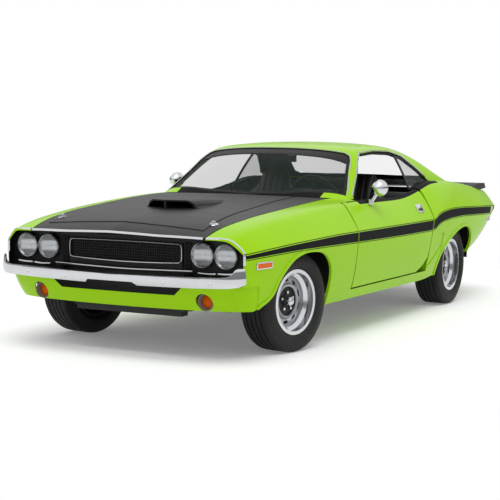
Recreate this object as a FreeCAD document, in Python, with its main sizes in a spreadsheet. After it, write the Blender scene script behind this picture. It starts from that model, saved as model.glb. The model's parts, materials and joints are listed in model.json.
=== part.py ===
import FreeCAD, Part
import os
import Sketcher
from functools import lru_cache
from math import cos, pi, radians, sin
from FreeCAD import Placement, Rotation, Vector

# Two-door hardtop muscle car, millimetres. X to the car's left, Y to the rear, Z up, Z 0 on the ground.
# The origin is the middle of the car's length and width, on the ground.

doc = FreeCAD.newDocument("MuscleCar")
sheet = doc.addObject("Spreadsheet::Sheet", "Sizes")

DRIVING = [
    ("WheelBase", 2794), ("FrontOverhang", 866), ("RearOverhang", 1175), ("BodyWidth", 1916),
    ("FrontTrack", 1516), ("RearTrack", 1542), ("RoofHeight", 1297), ("SillHeight", 262),
    ("TyreRadius", 318), ("TyreWidth", 232), ("TreadWidth", 190), ("RimRadius", 190.5), ("RimWidth", 178),
    ("FlangeRise", 16), ("RimWall", 6), ("DiscDish", 30), ("HubBore", 36), ("LugCircle", 57), ("LugCount", 5),
    ("LugRadius", 9), ("LugReach", 34), ("RidgeRadius", 100),
    ("SlotCount", 10), ("SlotCircle", 134), ("SlotRadius", 10), ("SlotHalf", 12), ("TyreFit", 0.3),
    ("KingpinX", 690), ("SteerRest", 10.7), ("DrumRadius", 140), ("DrumWidth", 62),
    ("SkinWall", 10), ("RoofWall", 26), ("GlassWall", 6), ("PanelGap", 6.5), ("SeamGap", 0.6), ("HemWall", 3),
    ("HemBack", 8), ("LipWidth", 22), ("LipRise", 6), ("ScallopDepth", 6), ("PinRadius", 7), ("PinFit", 0.3),
    ("SeatFit", 0.3), ("HingeHeight", 40), ("CowlDrop", 30),
    ("DoorInnerX", 795), ("CabinHalf", 770), ("DoorHingeX", 925), ("DoorHingeY", 770),
    ("HoodHingeY", 888), ("HoodHingeZ", 872), ("HoodHingeX", 600), ("DeckHingeY", 3003), ("DeckHingeZ", 1008),
    ("GrilleBar", 4), ("GrilleColumns", 50), ("GrilleRows", 10), ("LampRadius", 67), ("BezelRadius", 77),
    ("LampDepth", 60), ("AmberRadius", 53), ("AmberX", 589), ("AmberZ", 373), ("LampFit", 0.5),
    ("ScoopWall", 9), ("ScoopHalf", 182), ("HoodRise", 4), ("MirrorSetback", 280), ("PipeWall", 3),
    ("BumperDepth", 42), ("FloorHeight", 285), ("FloorWall", 10), ("TunnelRadius", 135), ("ApronX", 448),
    ("SteeringWheelRadius", 190), ("SteeringRimRadius", 11), ("MirrorRadius", 58), ("PipeRadius", 28),
    ("AxleTube", 40), ("SpringWidth", 64), ("SpringX", 550), ("TankLength", 640), ("TankWidth", 820), ("TankDepth", 190),
    ("EngineLength", 720), ("EngineWidth", 560), ("EngineHeight", 560),
]
for row, (alias, number) in enumerate(DRIVING, start=1):
    sheet.set(f"A{row}", alias)
    sheet.set(f"B{row}", str(number))
    sheet.setAlias(f"B{row}", alias)
doc.recompute()


def size(expression):
    return float(sheet.evalExpression(expression))


front_axle = -size("(WheelBase + FrontOverhang + RearOverhang) / 2 - FrontOverhang")
rear_axle = front_axle + size("WheelBase")
axle_height = size("TyreRadius")
skin = size("SkinWall")
gap = size("PanelGap")
seam = size("SeamGap")

# The body lines below are drawn for these sizes, as distances behind the front axle.
DRAWN_BASE = 2794
DRAWN_FRONT = 866
DRAWN_REAR = 1175
DRAWN_WIDTH = 1916
DRAWN_ROOF = 1297


def aft(y):
    if y < 0:
        return front_axle + y * size("FrontOverhang") / DRAWN_FRONT
    if y < DRAWN_BASE:
        return front_axle + y * size("WheelBase") / DRAWN_BASE
    return rear_axle + (y - DRAWN_BASE) * size("RearOverhang") / DRAWN_REAR


def out(x):
    return x * size("BodyWidth") / DRAWN_WIDTH


def up(z):
    sill = size("SillHeight")
    return sill + (z - 262) * (size("RoofHeight") - sill) / (DRAWN_ROOF - 262)


# A body line: its value at any distance behind the front axle, without overshoot between its points.
def line_value(points, y):
    if y <= points[0][0]:
        return points[0][1] + (y - points[0][0]) * slope(points, 0)
    if y >= points[-1][0]:
        return points[-1][1] + (y - points[-1][0]) * slope(points, len(points) - 2)
    i = max(k for k in range(len(points) - 1) if points[k][0] <= y)
    run = points[i + 1][0] - points[i][0]
    t = (y - points[i][0]) / run
    a = points[i][1]
    b = points[i + 1][1]
    start = tangent(points, i) * run
    end = tangent(points, i + 1) * run
    return ((2 * t**3 - 3 * t**2 + 1) * a + (t**3 - 2 * t**2 + t) * start
            + (3 * t**2 - 2 * t**3) * b + (t**3 - t**2) * end)


def slope(points, i):
    return (points[i + 1][1] - points[i][1]) / (points[i + 1][0] - points[i][0])


def tangent(points, i):
    if i == 0:
        return slope(points, 0)
    if i == len(points) - 1:
        return slope(points, i - 1)
    before = slope(points, i - 1)
    after = slope(points, i)
    if before * after <= 0:
        return 0
    return 2 * before * after / (before + after)


# Lower body lines: sill edge, side crease, shoulder, hood or deck edge, and centre of the top.
SILL_X = [(-790, 790), (-600, 840), (0, 880), (700, 890), (2000, 895), (2800, 890), (3400, 862), (3900, 800)]
SILL_Z = [(-790, 322), (-300, 300), (400, 266), (2000, 262), (2500, 300), (3000, 380), (3464, 469),
          (3700, 565), (3900, 655)]
CREASE_X = [(-790, 840), (-600, 894), (-300, 930), (0, 946), (700, 956), (2200, 958), (2800, 958),
            (3300, 948), (3700, 912), (3900, 868)]
CREASE_Z = [(-790, 658), (-400, 688), (0, 704), (600, 714), (2080, 714), (2260, 748), (2430, 772),
            (2650, 780), (3100, 768), (3900, 738)]
SHOULDER_X = [(-790, 778), (-600, 796), (-300, 808), (0, 818), (600, 826), (1700, 838), (2600, 852),
              (3000, 842), (3500, 815), (3900, 775)]
SHOULDER_Z = [(-790, 742), (-700, 766), (-400, 816), (0, 856), (500, 888), (1000, 903), (1500, 898),
              (1850, 905), (2150, 948), (2400, 985), (2650, 992), (3000, 968), (3500, 915), (3900, 868)]
EDGE_Z = [(-790, 754), (-700, 788), (-400, 843), (0, 878), (500, 912), (900, 928), (1700, 915),
          (2150, 955), (2400, 990), (2650, 998), (3000, 984), (3500, 938), (3900, 884)]
TOP_Z = [(-842, 772), (-710, 822), (-366, 868), (200, 900), (850, 936), (1700, 940), (2600, 985),
         (3000, 990), (3500, 950), (3900, 898)]
HULL_STATIONS = [-960, -860, -760, -660, -500, -250, 0, 350, 700, 1100, 1500, 1850, 2050, 2200, 2350,
                 2500, 2700, 2950, 3250, 3550, 3800, 4020]

# Greenhouse lines: rail over the side windows, and centre of windscreen, roof and rear window.
RAIL_X = [(860, 790), (1022, 735), (1200, 688), (1436, 606), (1600, 590), (2000, 588), (2300, 603),
          (2600, 675), (3000, 750), (3150, 780)]
RAIL_Z = [(860, 860), (1022, 921), (1200, 1042), (1436, 1208), (1600, 1243), (2000, 1248), (2300, 1218),
          (2600, 1118), (3000, 975), (3150, 925)]
ROOF_Z = [(820, 905), (870, 935), (1380, 1257), (1600, 1287), (1900, 1297), (2300, 1286), (2550, 1252),
          (3000, 1000), (3100, 940)]
ROOF_STATIONS = [830, 930, 1022, 1130, 1280, 1390, 1500, 1700, 2000, 2250, 2450, 2650, 2850, 3020, 3120]
BASE_X = [(830, 815), (1022, 815), (1518, 822), (2122, 812), (2600, 800), (3120, 800)]
BELT = 870


# A smooth curve held by its end poles and drawn towards the others.
def pole_curve(poles, degree=3):
    spans = len(poles) - degree
    curve = Part.BSplineCurve()
    multiplicities = [degree + 1] + [1] * (spans - 1) + [degree + 1]
    curve.buildFromPolesMultsKnots(poles, multiplicities, list(range(spans + 1)), False, degree)
    return curve.toShape()


def blend(a, b, share):
    return a + (b - a) * share


def mirrored(points):
    return [Vector(-p.x, p.y, p.z) for p in reversed(points)]


def hull_section(y, inset):
    row = aft(y)
    sill = (out(line_value(SILL_X, y)) - inset, up(line_value(SILL_Z, y)) + inset)
    crease = (out(line_value(CREASE_X, y)) - inset, up(line_value(CREASE_Z, y)))
    shoulder = (out(line_value(SHOULDER_X, y)) - inset, up(line_value(SHOULDER_Z, y)) - inset)
    edge = (out(0.80 * line_value(SHOULDER_X, y)), up(line_value(EDGE_Z, y)) - inset)
    middle = (0, up(line_value(TOP_Z, y)) - inset)
    low = [Vector(sill[0], row, sill[1]),
           Vector(blend(sill[0], crease[0], 0.80), row, blend(sill[1], crease[1], 0.30)),
           Vector(blend(sill[0], crease[0], 0.98), row, blend(sill[1], crease[1], 0.75)),
           Vector(crease[0], row, crease[1])]
    high = [Vector(crease[0], row, crease[1]),
            Vector(blend(crease[0], shoulder[0], 0.35), row, blend(crease[1], shoulder[1], 0.40)),
            Vector(blend(crease[0], shoulder[0], 0.90), row, blend(crease[1], shoulder[1], 0.86)),
            Vector(blend(shoulder[0], edge[0], 0.12), row, shoulder[1] + 8),
            Vector(edge[0], row, edge[1]),
            Vector(edge[0] * 0.5, row, blend(middle[1], edge[1], 0.35)),
            Vector(0, row, middle[1])]
    edges = [pole_curve(low), pole_curve(high), pole_curve(mirrored(high)), pole_curve(mirrored(low)),
             Part.makeLine(mirrored(low)[-1], low[0])]
    return Part.Wire(edges)


def roof_section(y, inset):
    row = aft(y)
    rail_x = out(line_value(RAIL_X, y)) - inset
    rail_z = up(line_value(RAIL_Z, y)) - inset
    base_x = max(out(line_value(BASE_X, y)), out(line_value(RAIL_X, y)) + 25) - inset
    base_z = up(BELT) - 40
    middle = max(up(line_value(ROOF_Z, y)) - inset, base_z + 20)
    rail_z = max(rail_z, base_z + 12)
    side = [Vector(base_x, row, base_z),
            Vector(blend(base_x, rail_x, 0.30), row, blend(base_z, rail_z, 0.42)),
            Vector(blend(base_x, rail_x, 0.80), row, blend(base_z, rail_z, 0.86)),
            Vector(rail_x - 6, row, rail_z + 14),
            Vector(rail_x * 0.80, row, blend(rail_z, middle, 0.62)),
            Vector(rail_x * 0.40, row, middle - 1),
            Vector(0, row, middle)]
    edges = [pole_curve(side), pole_curve(mirrored(side)), Part.makeLine(mirrored(side)[-1], side[0])]
    return Part.Wire(edges)


def loft(sections):
    return Part.makeLoft(sections, True, False)


@lru_cache
def hull(inset):
    return loft([hull_section(y, inset) for y in HULL_STATIONS])


@lru_cache
def greenhouse(inset):
    return loft([roof_section(y, inset) for y in ROOF_STATIONS])


# Prisms: an outline in side view, in plan or in front view, drawn through the car.
def wire_of(points):
    return Part.makePolygon(points + [points[0]])


def side_prism(outline, x0=-1200, x1=1200):
    face = Part.Face(wire_of([Vector(x0, aft(y), up(z)) for y, z in outline]))
    return face.extrude(Vector(x1 - x0, 0, 0))


def plan_prism(outline, z0=0, z1=1500):
    face = Part.Face(wire_of([Vector(out(x), aft(y), z0) for x, y in outline]))
    return face.extrude(Vector(0, 0, z1 - z0))


def front_prism(outline, y0, y1):
    face = Part.Face(wire_of([Vector(x, y0, up(z)) for x, z in both_sides(outline)]))
    return face.extrude(Vector(0, y1 - y0, 0))


def block(x0, x1, y0, y1, z0, z1):
    return Part.makeBox(x1 - x0, y1 - y0, z1 - z0, Vector(x0, y0, z0))


def both_sides(points):
    return points + [(-x, y) for x, y in reversed(points) if x > 0]


# An outline from the car's right edge to its left edge, given from the middle outwards.
def across(points):
    return [(-x, y) for x, y in reversed(points) if x > 0] + points


def flipped(shape):
    return shape.mirror(Vector(0, 0, 0), Vector(1, 0, 0))


def wholly(shape):
    joined = shape.removeSplitter()
    return joined if joined.isValid() else shape


def biggest(shape):
    return max(shape.Solids, key=lambda s: s.Volume)


def fused(pieces):
    return wholly(pieces[0].multiFuse(pieces[1:])) if len(pieces) > 1 else pieces[0]


def grouped(pieces):
    solids = [s for p in pieces for s in p.Solids]
    return Part.makeCompound(solids) if len(solids) > 1 else solids[0]


sub_parts = []


def keep(label, shape, place=Placement()):
    item = doc.addObject("Part::Feature", label)
    item.Label = label
    item.Shape = shape
    item.Placement = place
    sub_parts.append(item)
    return item


# Cut lines of the body panels.
DOOR_OUTLINE = [(690, 340), (712, 715), (805, 1050), (2150, 1050), (2150, 715), (2080, 437), (2010, 385),
                (1895, 340)]
DOOR_TAPER = [(20, 0), (20, 0), (20, 0), (-34, 0), (-34, 0), (-34, 0), (-34, 0), (-34, 0)]
NOSE_PLAN = [(0, -842), (330, -826), (619, -787), (760, -762), (846, -728), (1000, -560)]
HOOD_PLAN = [(0, -850), (619, -795), (619, -787), (625, -700), (645, -400), (655, 0), (663, 400), (662, 600),
             (650, 860), (430, 826), (200, 806), (0, 800)]
HOOD_RISE_PLAN = [(0, -690), (560, -690), (500, -170), (447, 470), (440, 780), (200, 760), (0, 755)]
TAIL_PLAN = [(0, 3925), (450, 3915), (760, 3895), (868, 3872), (1000, 3800)]
DECK_PLAN = [(0, 3012), (640, 3022), (700, 3060), (712, 3400), (700, 3700), (680, 3860), (680, 4000), (0, 4000)]
SCREEN_PLAN = [(0, 872), (300, 897), (560, 960), (690, 1008), (716, 1022), (699, 1080),
                (672, 1150), (634, 1250), (606, 1340), (578, 1388), (532, 1404), (280, 1384), (0, 1372)]
REAR_GLASS_PLAN = [(0, 2585), (350, 2578), (500, 2560), (530, 2590), (600, 2900), (560, 2950), (300, 2968),
                   (0, 2972)]
SIDE_WINDOW = [(1040, 888), (1080, 928), (1150, 980), (1250, 1048), (1350, 1120), (1436, 1182), (1523, 1222), (1797, 1236), (2086, 1227), (2270, 1192),
               (2446, 1095), (2590, 990), (2520, 960), (2122, 940), (1883, 911), (1518, 895), (1040, 880)]
SCALLOP = [(2300, 612), (2400, 602), (2372, 500), (2166, 384), (2039, 340), (1950, 350), (2108, 412), (2180, 480)]
LIP_SIDE = [(3560, 915), (3640, 936), (3780, 941), (3850, 938), (3885, 895), (3560, 870)]


FRONT_ARCH = [(-600, 305), (-500, 352), (-420, 404), (-381, 474), (-341, 521), (-290, 563), (-228, 600), (-164, 621),
              (-77, 635), (22, 635), (130, 624), (194, 605), (245, 573), (282, 533), (304, 480), (311, 420), (313, 300)]
REAR_ARCH = [(2330, 290), (2352, 390), (2400, 447), (2470, 495), (2543, 534), (2628, 571), (2728, 603),
             (2808, 619), (2900, 623), (2985, 609), (3050, 575), (3098, 522), (3124, 460), (3132, 390), (3132, 290)]


# A wheel opening's outline, grown by a reach, drawn through the car's side.
def arch_prism(outline, reach, x0=560, x1=1100):
    points = [Vector(x0, aft(y), up(z)) for y, z in outline]
    grown = []
    for i, point in enumerate(points):
        along = points[min(i + 1, len(points) - 1)] - points[max(i - 1, 0)]
        grown.append(point + Vector(0, -along.z, along.y).normalize() * reach)
    curve = Part.BSplineCurve()
    curve.interpolate(grown)
    low = -100
    corners = [grown[-1], Vector(x0, grown[-1].y, low), Vector(x0, grown[0].y, low), grown[0]]
    face = Part.Face(Part.Wire([curve.toShape()] + Part.makePolygon(corners).Edges))
    return face.extrude(Vector(x1 - x0, 0, 0))


# The flared edge round a wheel opening, a little proud of the skin.
def wheel_lip(outline):
    ring = arch_prism(outline, size("LipWidth"), 700).cut(arch_prism(outline, 0, 700))
    return hull(-size("LipRise")).common(ring).cut(inner)


# What lies inboard of the sill, below the wheels' tops.
def under_body(front, rear, lip=20):
    edge = [(x - lip, y) for y, x in SILL_X if front < y < rear]
    ends = [(edge[0][0], front)] + edge + [(edge[-1][0], rear)]
    return plan_prism([(0, front)] + ends + [(0, rear)], 0, up(420))


def deck_opening():
    return plan_prism(both_sides([(x + gap if x else x, y - gap) for x, y in DECK_PLAN]), up(760), 1500)


outer = hull(0)
inner = hull(skin)
shell = outer.cut(inner)
nose = plan_prism(across(NOSE_PLAN) + [(1000, 4100), (-1000, 4100)])
tail = plan_prism(across(TAIL_PLAN) + [(1000, -1000), (-1000, -1000)])


def hinge_spans():
    height = size("HingeHeight")
    return [(up(470), up(470) + height), (up(640), up(640) + height)]


def hinge_pin(low_z, high_z, radius):
    foot = Vector(size("DoorHingeX"), aft(size("DoorHingeY")), low_z)
    return Part.makeCylinder(radius, high_z - low_z, foot)


def make_panels():
    # Whole-body solids first trimmed at the nose and tail.
    trimmed = shell.common(nose).common(tail)
    solid = outer.common(nose).common(tail)
    front_arch = arch_prism(FRONT_ARCH, 0)
    rear_arch = arch_prism(REAR_ARCH, 0)
    left = trimmed.common(block(0, 1100, -3000, 3000, 0, 1500))
    middle_low = block(-700, 700, -3000, 3000, 0, up(560))

    hood_zone = plan_prism(both_sides(HOOD_PLAN), up(640), 1500)
    hood_gap = plan_prism(both_sides([(x + gap if x else x, y) for x, y in HOOD_PLAN]), up(640), 1500)
    hood = biggest(trimmed.common(hood_zone))
    # The raised middle of the hood, from crease to crease.
    raised = plan_prism(both_sides(HOOD_RISE_PLAN), up(640), 1500)
    hood = wholly(hood.fuse(biggest(hull(-size("HoodRise")).common(raised).cut(inner))))
    under_hood = inner.fuse(block(-900, 900, aft(600), aft(1000), 0, up(890)))
    arms = []
    for side in (-1, 1):
        x = side * size("HoodHingeX")
        hinge = Vector(x - 8 * side, aft(size("HoodHingeY")), up(size("HoodHingeZ")))
        arm = side_prism([(700, 950), (800, 950), (800, 900), (870, 886), (902, 886), (902, 858), (870, 858),
                          (700, 872)], x - 8, x + 8).common(under_hood)
        pin = rod(hinge - Vector(20 * side, 0, 0), hinge + Vector(40 * side, 0, 0),
                  size("PinRadius") + size("PinFit"))
        arms.append(arm.cut(pin))
    keep("hood", fused([hood] + arms))

    front_lip = wheel_lip(FRONT_ARCH).cut(under_body(-1000, 500, 8))
    rear_lip = wheel_lip(REAR_ARCH).cut(under_body(2000, 3600))
    # Fender, from the nose to the door, over the front wheel.
    fender_zone = side_prism([(-900, 250), (-900, 1000), (800 - gap, 1050), (712 - gap, 715), (690 - gap, 340),
                              (690 - gap, 200), (-900, 200)], 300, 1100)
    below_bumper = side_prism([(-900, 200), (-900, 600), (-742, 600), (-742, 474), (-590, 474), (-545, 300),
                               (-545, 200)], 300, 1100)
    fender = left.common(fender_zone).cut(hood_gap).cut(front_arch).cut(under_body(-1000, 800, 8)).cut(below_bumper)
    cowl_zone = plan_prism([(0, 700), (745, 700), (745, 1200), (0, 1200)], up(800), 1500)
    hem = size("HemBack")
    hem_zone = side_prism([(800 - gap - hem, 1050), (712 - gap - hem, 715), (690 - gap - hem, 340),
                           (690 - gap - hem, 200), (1000, 200), (1000, 1050)], 300, 1100)
    # Its rear inner corner reaches back to the foot of the windscreen pillar.
    foot_zone = plan_prism([(657, 690), (788, 690), (788, 1016), (745, 1018), (700, 1002), (657, 985)], up(800), 1500)
    foot = biggest(left.common(foot_zone).cut(hood_gap))
    fender = biggest(fender.cut(cowl_zone).fuse(foot).cut(hull(size("HemWall")).common(hem_zone)))
    corner = front_apron().common(block(out(765) + seam / 2, 1000, -3000, 3000, 0, 1500)).cut(front_arch)
    fender = wholly(biggest(fender.fuse([corner, front_lip.common(fender_zone).cut(below_bumper)])))
    keep("fender_left", fender)
    keep("fender_right", flipped(fender))

    # Door, as thick as the real one, tapered so that its rear edge swings clear.
    far = out(1010)
    near = size("DoorInnerX")
    outer_ring = wire_of([Vector(far, aft(y), up(z)) for y, z in DOOR_OUTLINE])
    inner_ring = wire_of([Vector(near, aft(y + dy), up(z + dz))
                          for (y, z), (dy, dz) in zip(DOOR_OUTLINE, DOOR_TAPER)])
    door_zone = Part.makeLoft([outer_ring, inner_ring], True, True)
    door = solid.common(door_zone)
    for low_z, high_z in hinge_spans():
        door = door.cut(block(near - 5, size("DoorHingeX") + size("PinRadius") + 5, aft(600),
                              aft(size("DoorHingeY")) + size("PinRadius") + 6, low_z - 5, high_z + 5))
        door = door.cut(hinge_pin(low_z - 12.5, high_z + 12.5, size("PinRadius") + size("PinFit")))
    door = biggest(door)
    keep("door_left", door)
    keep("door_right", flipped(door))

    # Quarter with its sill under the door, its thick wall behind the door and the deck's side.
    door_gap = side_prism([(y + (gap if y > 1500 else -gap), z + (-gap if z < 400 else 0))
                           for y, z in DOOR_OUTLINE], 780, 1100)
    quarter_zone = side_prism([(690 - gap + seam, 200), (690 - gap + seam, 330), (2100, 330), (2100, 1050),
                               (4100, 1050), (4100, 200)], 300, 1100)
    wall_zone = side_prism([(2100, 280), (2160, 900), (2420, 975), (2420, 280)], size("CabinHalf") + 10, 1100)
    sill_zone = side_prism([(690, 200), (690, 330), (2160, 330), (2160, 200)], size("CabinHalf") + 10, 1100)
    cabin_top = plan_prism([(0, 2000), (745, 2000), (745, 2700), (700, 2985), (0, 2985)], up(800), 1500)
    quarter = left.common(quarter_zone).fuse([solid.common(wall_zone), solid.common(sill_zone)])
    quarter = quarter.cut(door_gap).cut(rear_arch).cut(middle_low).cut(deck_opening()).cut(cabin_top)
    quarter = quarter.cut(block(0, 690, -3000, 3000, 0, up(800)))
    scallop = side_prism(SCALLOP, 800, 1100).cut(hull(size("ScallopDepth")))
    quarter = wholly(biggest(quarter.cut(scallop).fuse(rear_lip)))
    keep("quarter_left", quarter)
    keep("quarter_right", flipped(quarter))

    # Deck lid with its upturned rear lip.
    deck_zone = plan_prism(both_sides(DECK_PLAN), up(800), 1500)
    lid = biggest(trimmed.common(deck_zone))
    half = out(680)
    lip = side_prism(LIP_SIDE, -half, half).common(tail).cut(hull(skin / 2))
    keep("deck_lid", fused([lid, biggest(lip)]))
    ends = side_prism(LIP_SIDE, half + gap, out(788)).common(tail).cut(hull(-0.3))
    keep("spoiler_ends", grouped([biggest(ends), flipped(biggest(ends))]))


def make_greenhouse():
    whole = greenhouse(0)
    hollow = greenhouse(size("RoofWall"))
    screen = plan_prism(both_sides(SCREEN_PLAN), up(700), 1500)
    rear = plan_prism(both_sides(REAR_GLASS_PLAN), up(700), 1500)
    window = side_prism(SIDE_WINDOW)
    frame = whole.cut(hollow).cut(screen).cut(rear).cut(window)
    roof = biggest(frame.cut(outer).cut(deck_opening()))
    keep("roof", roof)

    # Fixed glass lies in the openings, a little under the outer face.
    pane = greenhouse(6).cut(greenhouse(6 + size("GlassWall")))
    inward = pane.cut(outer)
    front = biggest(inward.common(screen))
    back = biggest(inward.common(rear))
    quarter_zone = side_prism([(2170, 1300), (2700, 1300), (2700, 900), (2100, 900)])
    sides = [s for s in inward.common(window).common(quarter_zone).Solids if s.Volume > 20000]
    keep("fixed_glass", grouped([front, back] + sides))



# A bent sheet or blade that follows the car's front or rear: plan outlines stacked from low to high.
def wrapped(levels, wall, taper=0.0):
    wires = []
    for z, plan in levels:
        face = [Vector(out(x), aft(y), up(z)) for x, y in across(plan)]
        back = []
        for i, p in enumerate(face):
            along = face[min(i + 1, len(face) - 1)] - face[max(i - 1, 0)]
            thick = wall * (1 - taper * (p.x / face[-1].x) ** 4)
            back.append(p + Vector(-along.y, along.x, 0).normalize() * thick)
        back.reverse()
        wires.append(Part.Wire([pole_curve(face), Part.makeLine(face[-1], back[0]), pole_curve(back),
                                Part.makeLine(back[-1], face[0])]))
    return Part.makeLoft(wires, True, len(wires) < 3)


def revolved(points, centre, axis):
    # Points are (along the axis, radius), closed on the axis or round a bore.
    wire = wire_of([Vector(a, 0, r) for a, r in points])
    body = Part.Face(wire).revolve(Vector(0, 0, 0), Vector(1, 0, 0), 360)
    return body.transformed(Placement(centre, Rotation(Vector(1, 0, 0), axis)).Matrix)


def rod(start, end, radius):
    return Part.makeCylinder(radius, (end - start).Length, start, end - start)


def tube_path(points, bend):
    edges = []
    last = points[0]
    for before, corner, after in zip(points, points[1:], points[2:]):
        back = (before - corner).normalize()
        ahead = (after - corner).normalize()
        turn = back.getAngle(ahead)
        cut = bend / (sin(turn / 2) / cos(turn / 2))
        start = corner + back * cut
        end = corner + ahead * cut
        middle = corner + (back + ahead).normalize() * (bend / sin(turn / 2) - bend)
        edges.append(Part.LineSegment(last, start).toShape())
        edges.append(Part.Arc(start, middle, end).toShape())
        last = end
    edges.append(Part.LineSegment(last, points[-1]).toShape())
    return Part.Wire(edges)


def bent_rod(points, radius, bend):
    path = tube_path(points, bend)
    ring = Part.Wire(Part.makeCircle(radius, points[0], points[1] - points[0]))
    return path.makePipeShell([ring], True, True)


def rounded_block(x0, x1, y0, y1, z0, z1, radius):
    body = block(x0, x1, y0, y1, z0, z1)
    return body.makeFillet(radius, body.Edges)


# Solids bound to the inside of the body's skin.
def inside(zone):
    return biggest(outer_fit.common(nose).common(tail).common(zone))


outer_fit = hull(skin + seam)


# One sheet with a grid of square holes.
def grille_mesh():
    bar = size("GrilleBar")
    columns = int(size("GrilleColumns"))
    rows = int(size("GrilleRows"))
    pitch_x = (800 - bar) / columns
    pitch_z = (up(704) - up(536) - bar) / rows
    left = -400
    low = up(536)
    loops = [wire_of([Vector(x, aft(-672), z) for x, z in ((left, low), (400, low), (400, up(704)), (left, up(704)))])]
    for i in range(columns):
        x = left + bar + i * pitch_x
        for j in range(rows):
            z = low + bar + j * pitch_z
            corners = ((x, z), (x, z + pitch_z - bar), (x + pitch_x - bar, z + pitch_z - bar), (x + pitch_x - bar, z))
            loops.append(wire_of([Vector(a, aft(-672), b) for a, b in corners]))
    return Part.Face(loops).extrude(Vector(0, 8, 0))


# The sheet under the bumper, from one front wheel round to the other.
def front_apron():
    top = [(0, -800), (300, -795), (600, -772), (760, -742), (835, -700), (868, -640), (877, -560)]
    mid = [(0, -785), (300, -778), (600, -744), (750, -706), (828, -665), (862, -610), (868, -545)]
    low = [(0, -745), (300, -738), (590, -700), (740, -655), (812, -610), (842, -565), (850, -520)]
    return wrapped([(318, low), (400, mid), (474, top)], 8)


# The front bumper's blade rises a little towards its ends, and its lower edge steps up over the middle.
def front_blade():
    low_line = [(0, -832), (300, -827), (600, -816), (745, -804), (826, -790), (860, -745)]
    mid_line = [(0, -868), (300, -862), (600, -848), (755, -832), (840, -808), (878, -745)]
    top_line = [(0, -844), (300, -839), (600, -826), (750, -812), (832, -792), (864, -745)]
    blade = [(0, 492), (138, 492), (170, 466), (600, 470), (780, 481), (870, 512), (1000, 520), (1000, 590),
             (870, 590), (780, 580), (600, 566), (0, 562)]
    bumper = wrapped([(455, low_line), (520, mid_line), (595, top_line)], size("BumperDepth"), 0.8)
    return biggest(bumper.common(front_prism(blade, aft(-900), aft(-600))))


def rear_blade():
    low = [(0, 3955), (300, 3950), (600, 3930), (735, 3905), (770, 3860)]
    mid = [(0, 3970.5), (300, 3966), (600, 3944), (750, 3915), (785, 3862)]
    return biggest(wrapped([(548, low), (590, mid), (630, low)], 8 - size("BumperDepth"), 0.6))


# A flat bar that ends a little short of the bumper's back.
def bumper_iron(outline, x, bumper, fit):
    back = bumper.copy()
    back.translate(Vector(0, fit, 0))
    return biggest(side_prism(outline, x - 30, x + 30).cut(back))


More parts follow.
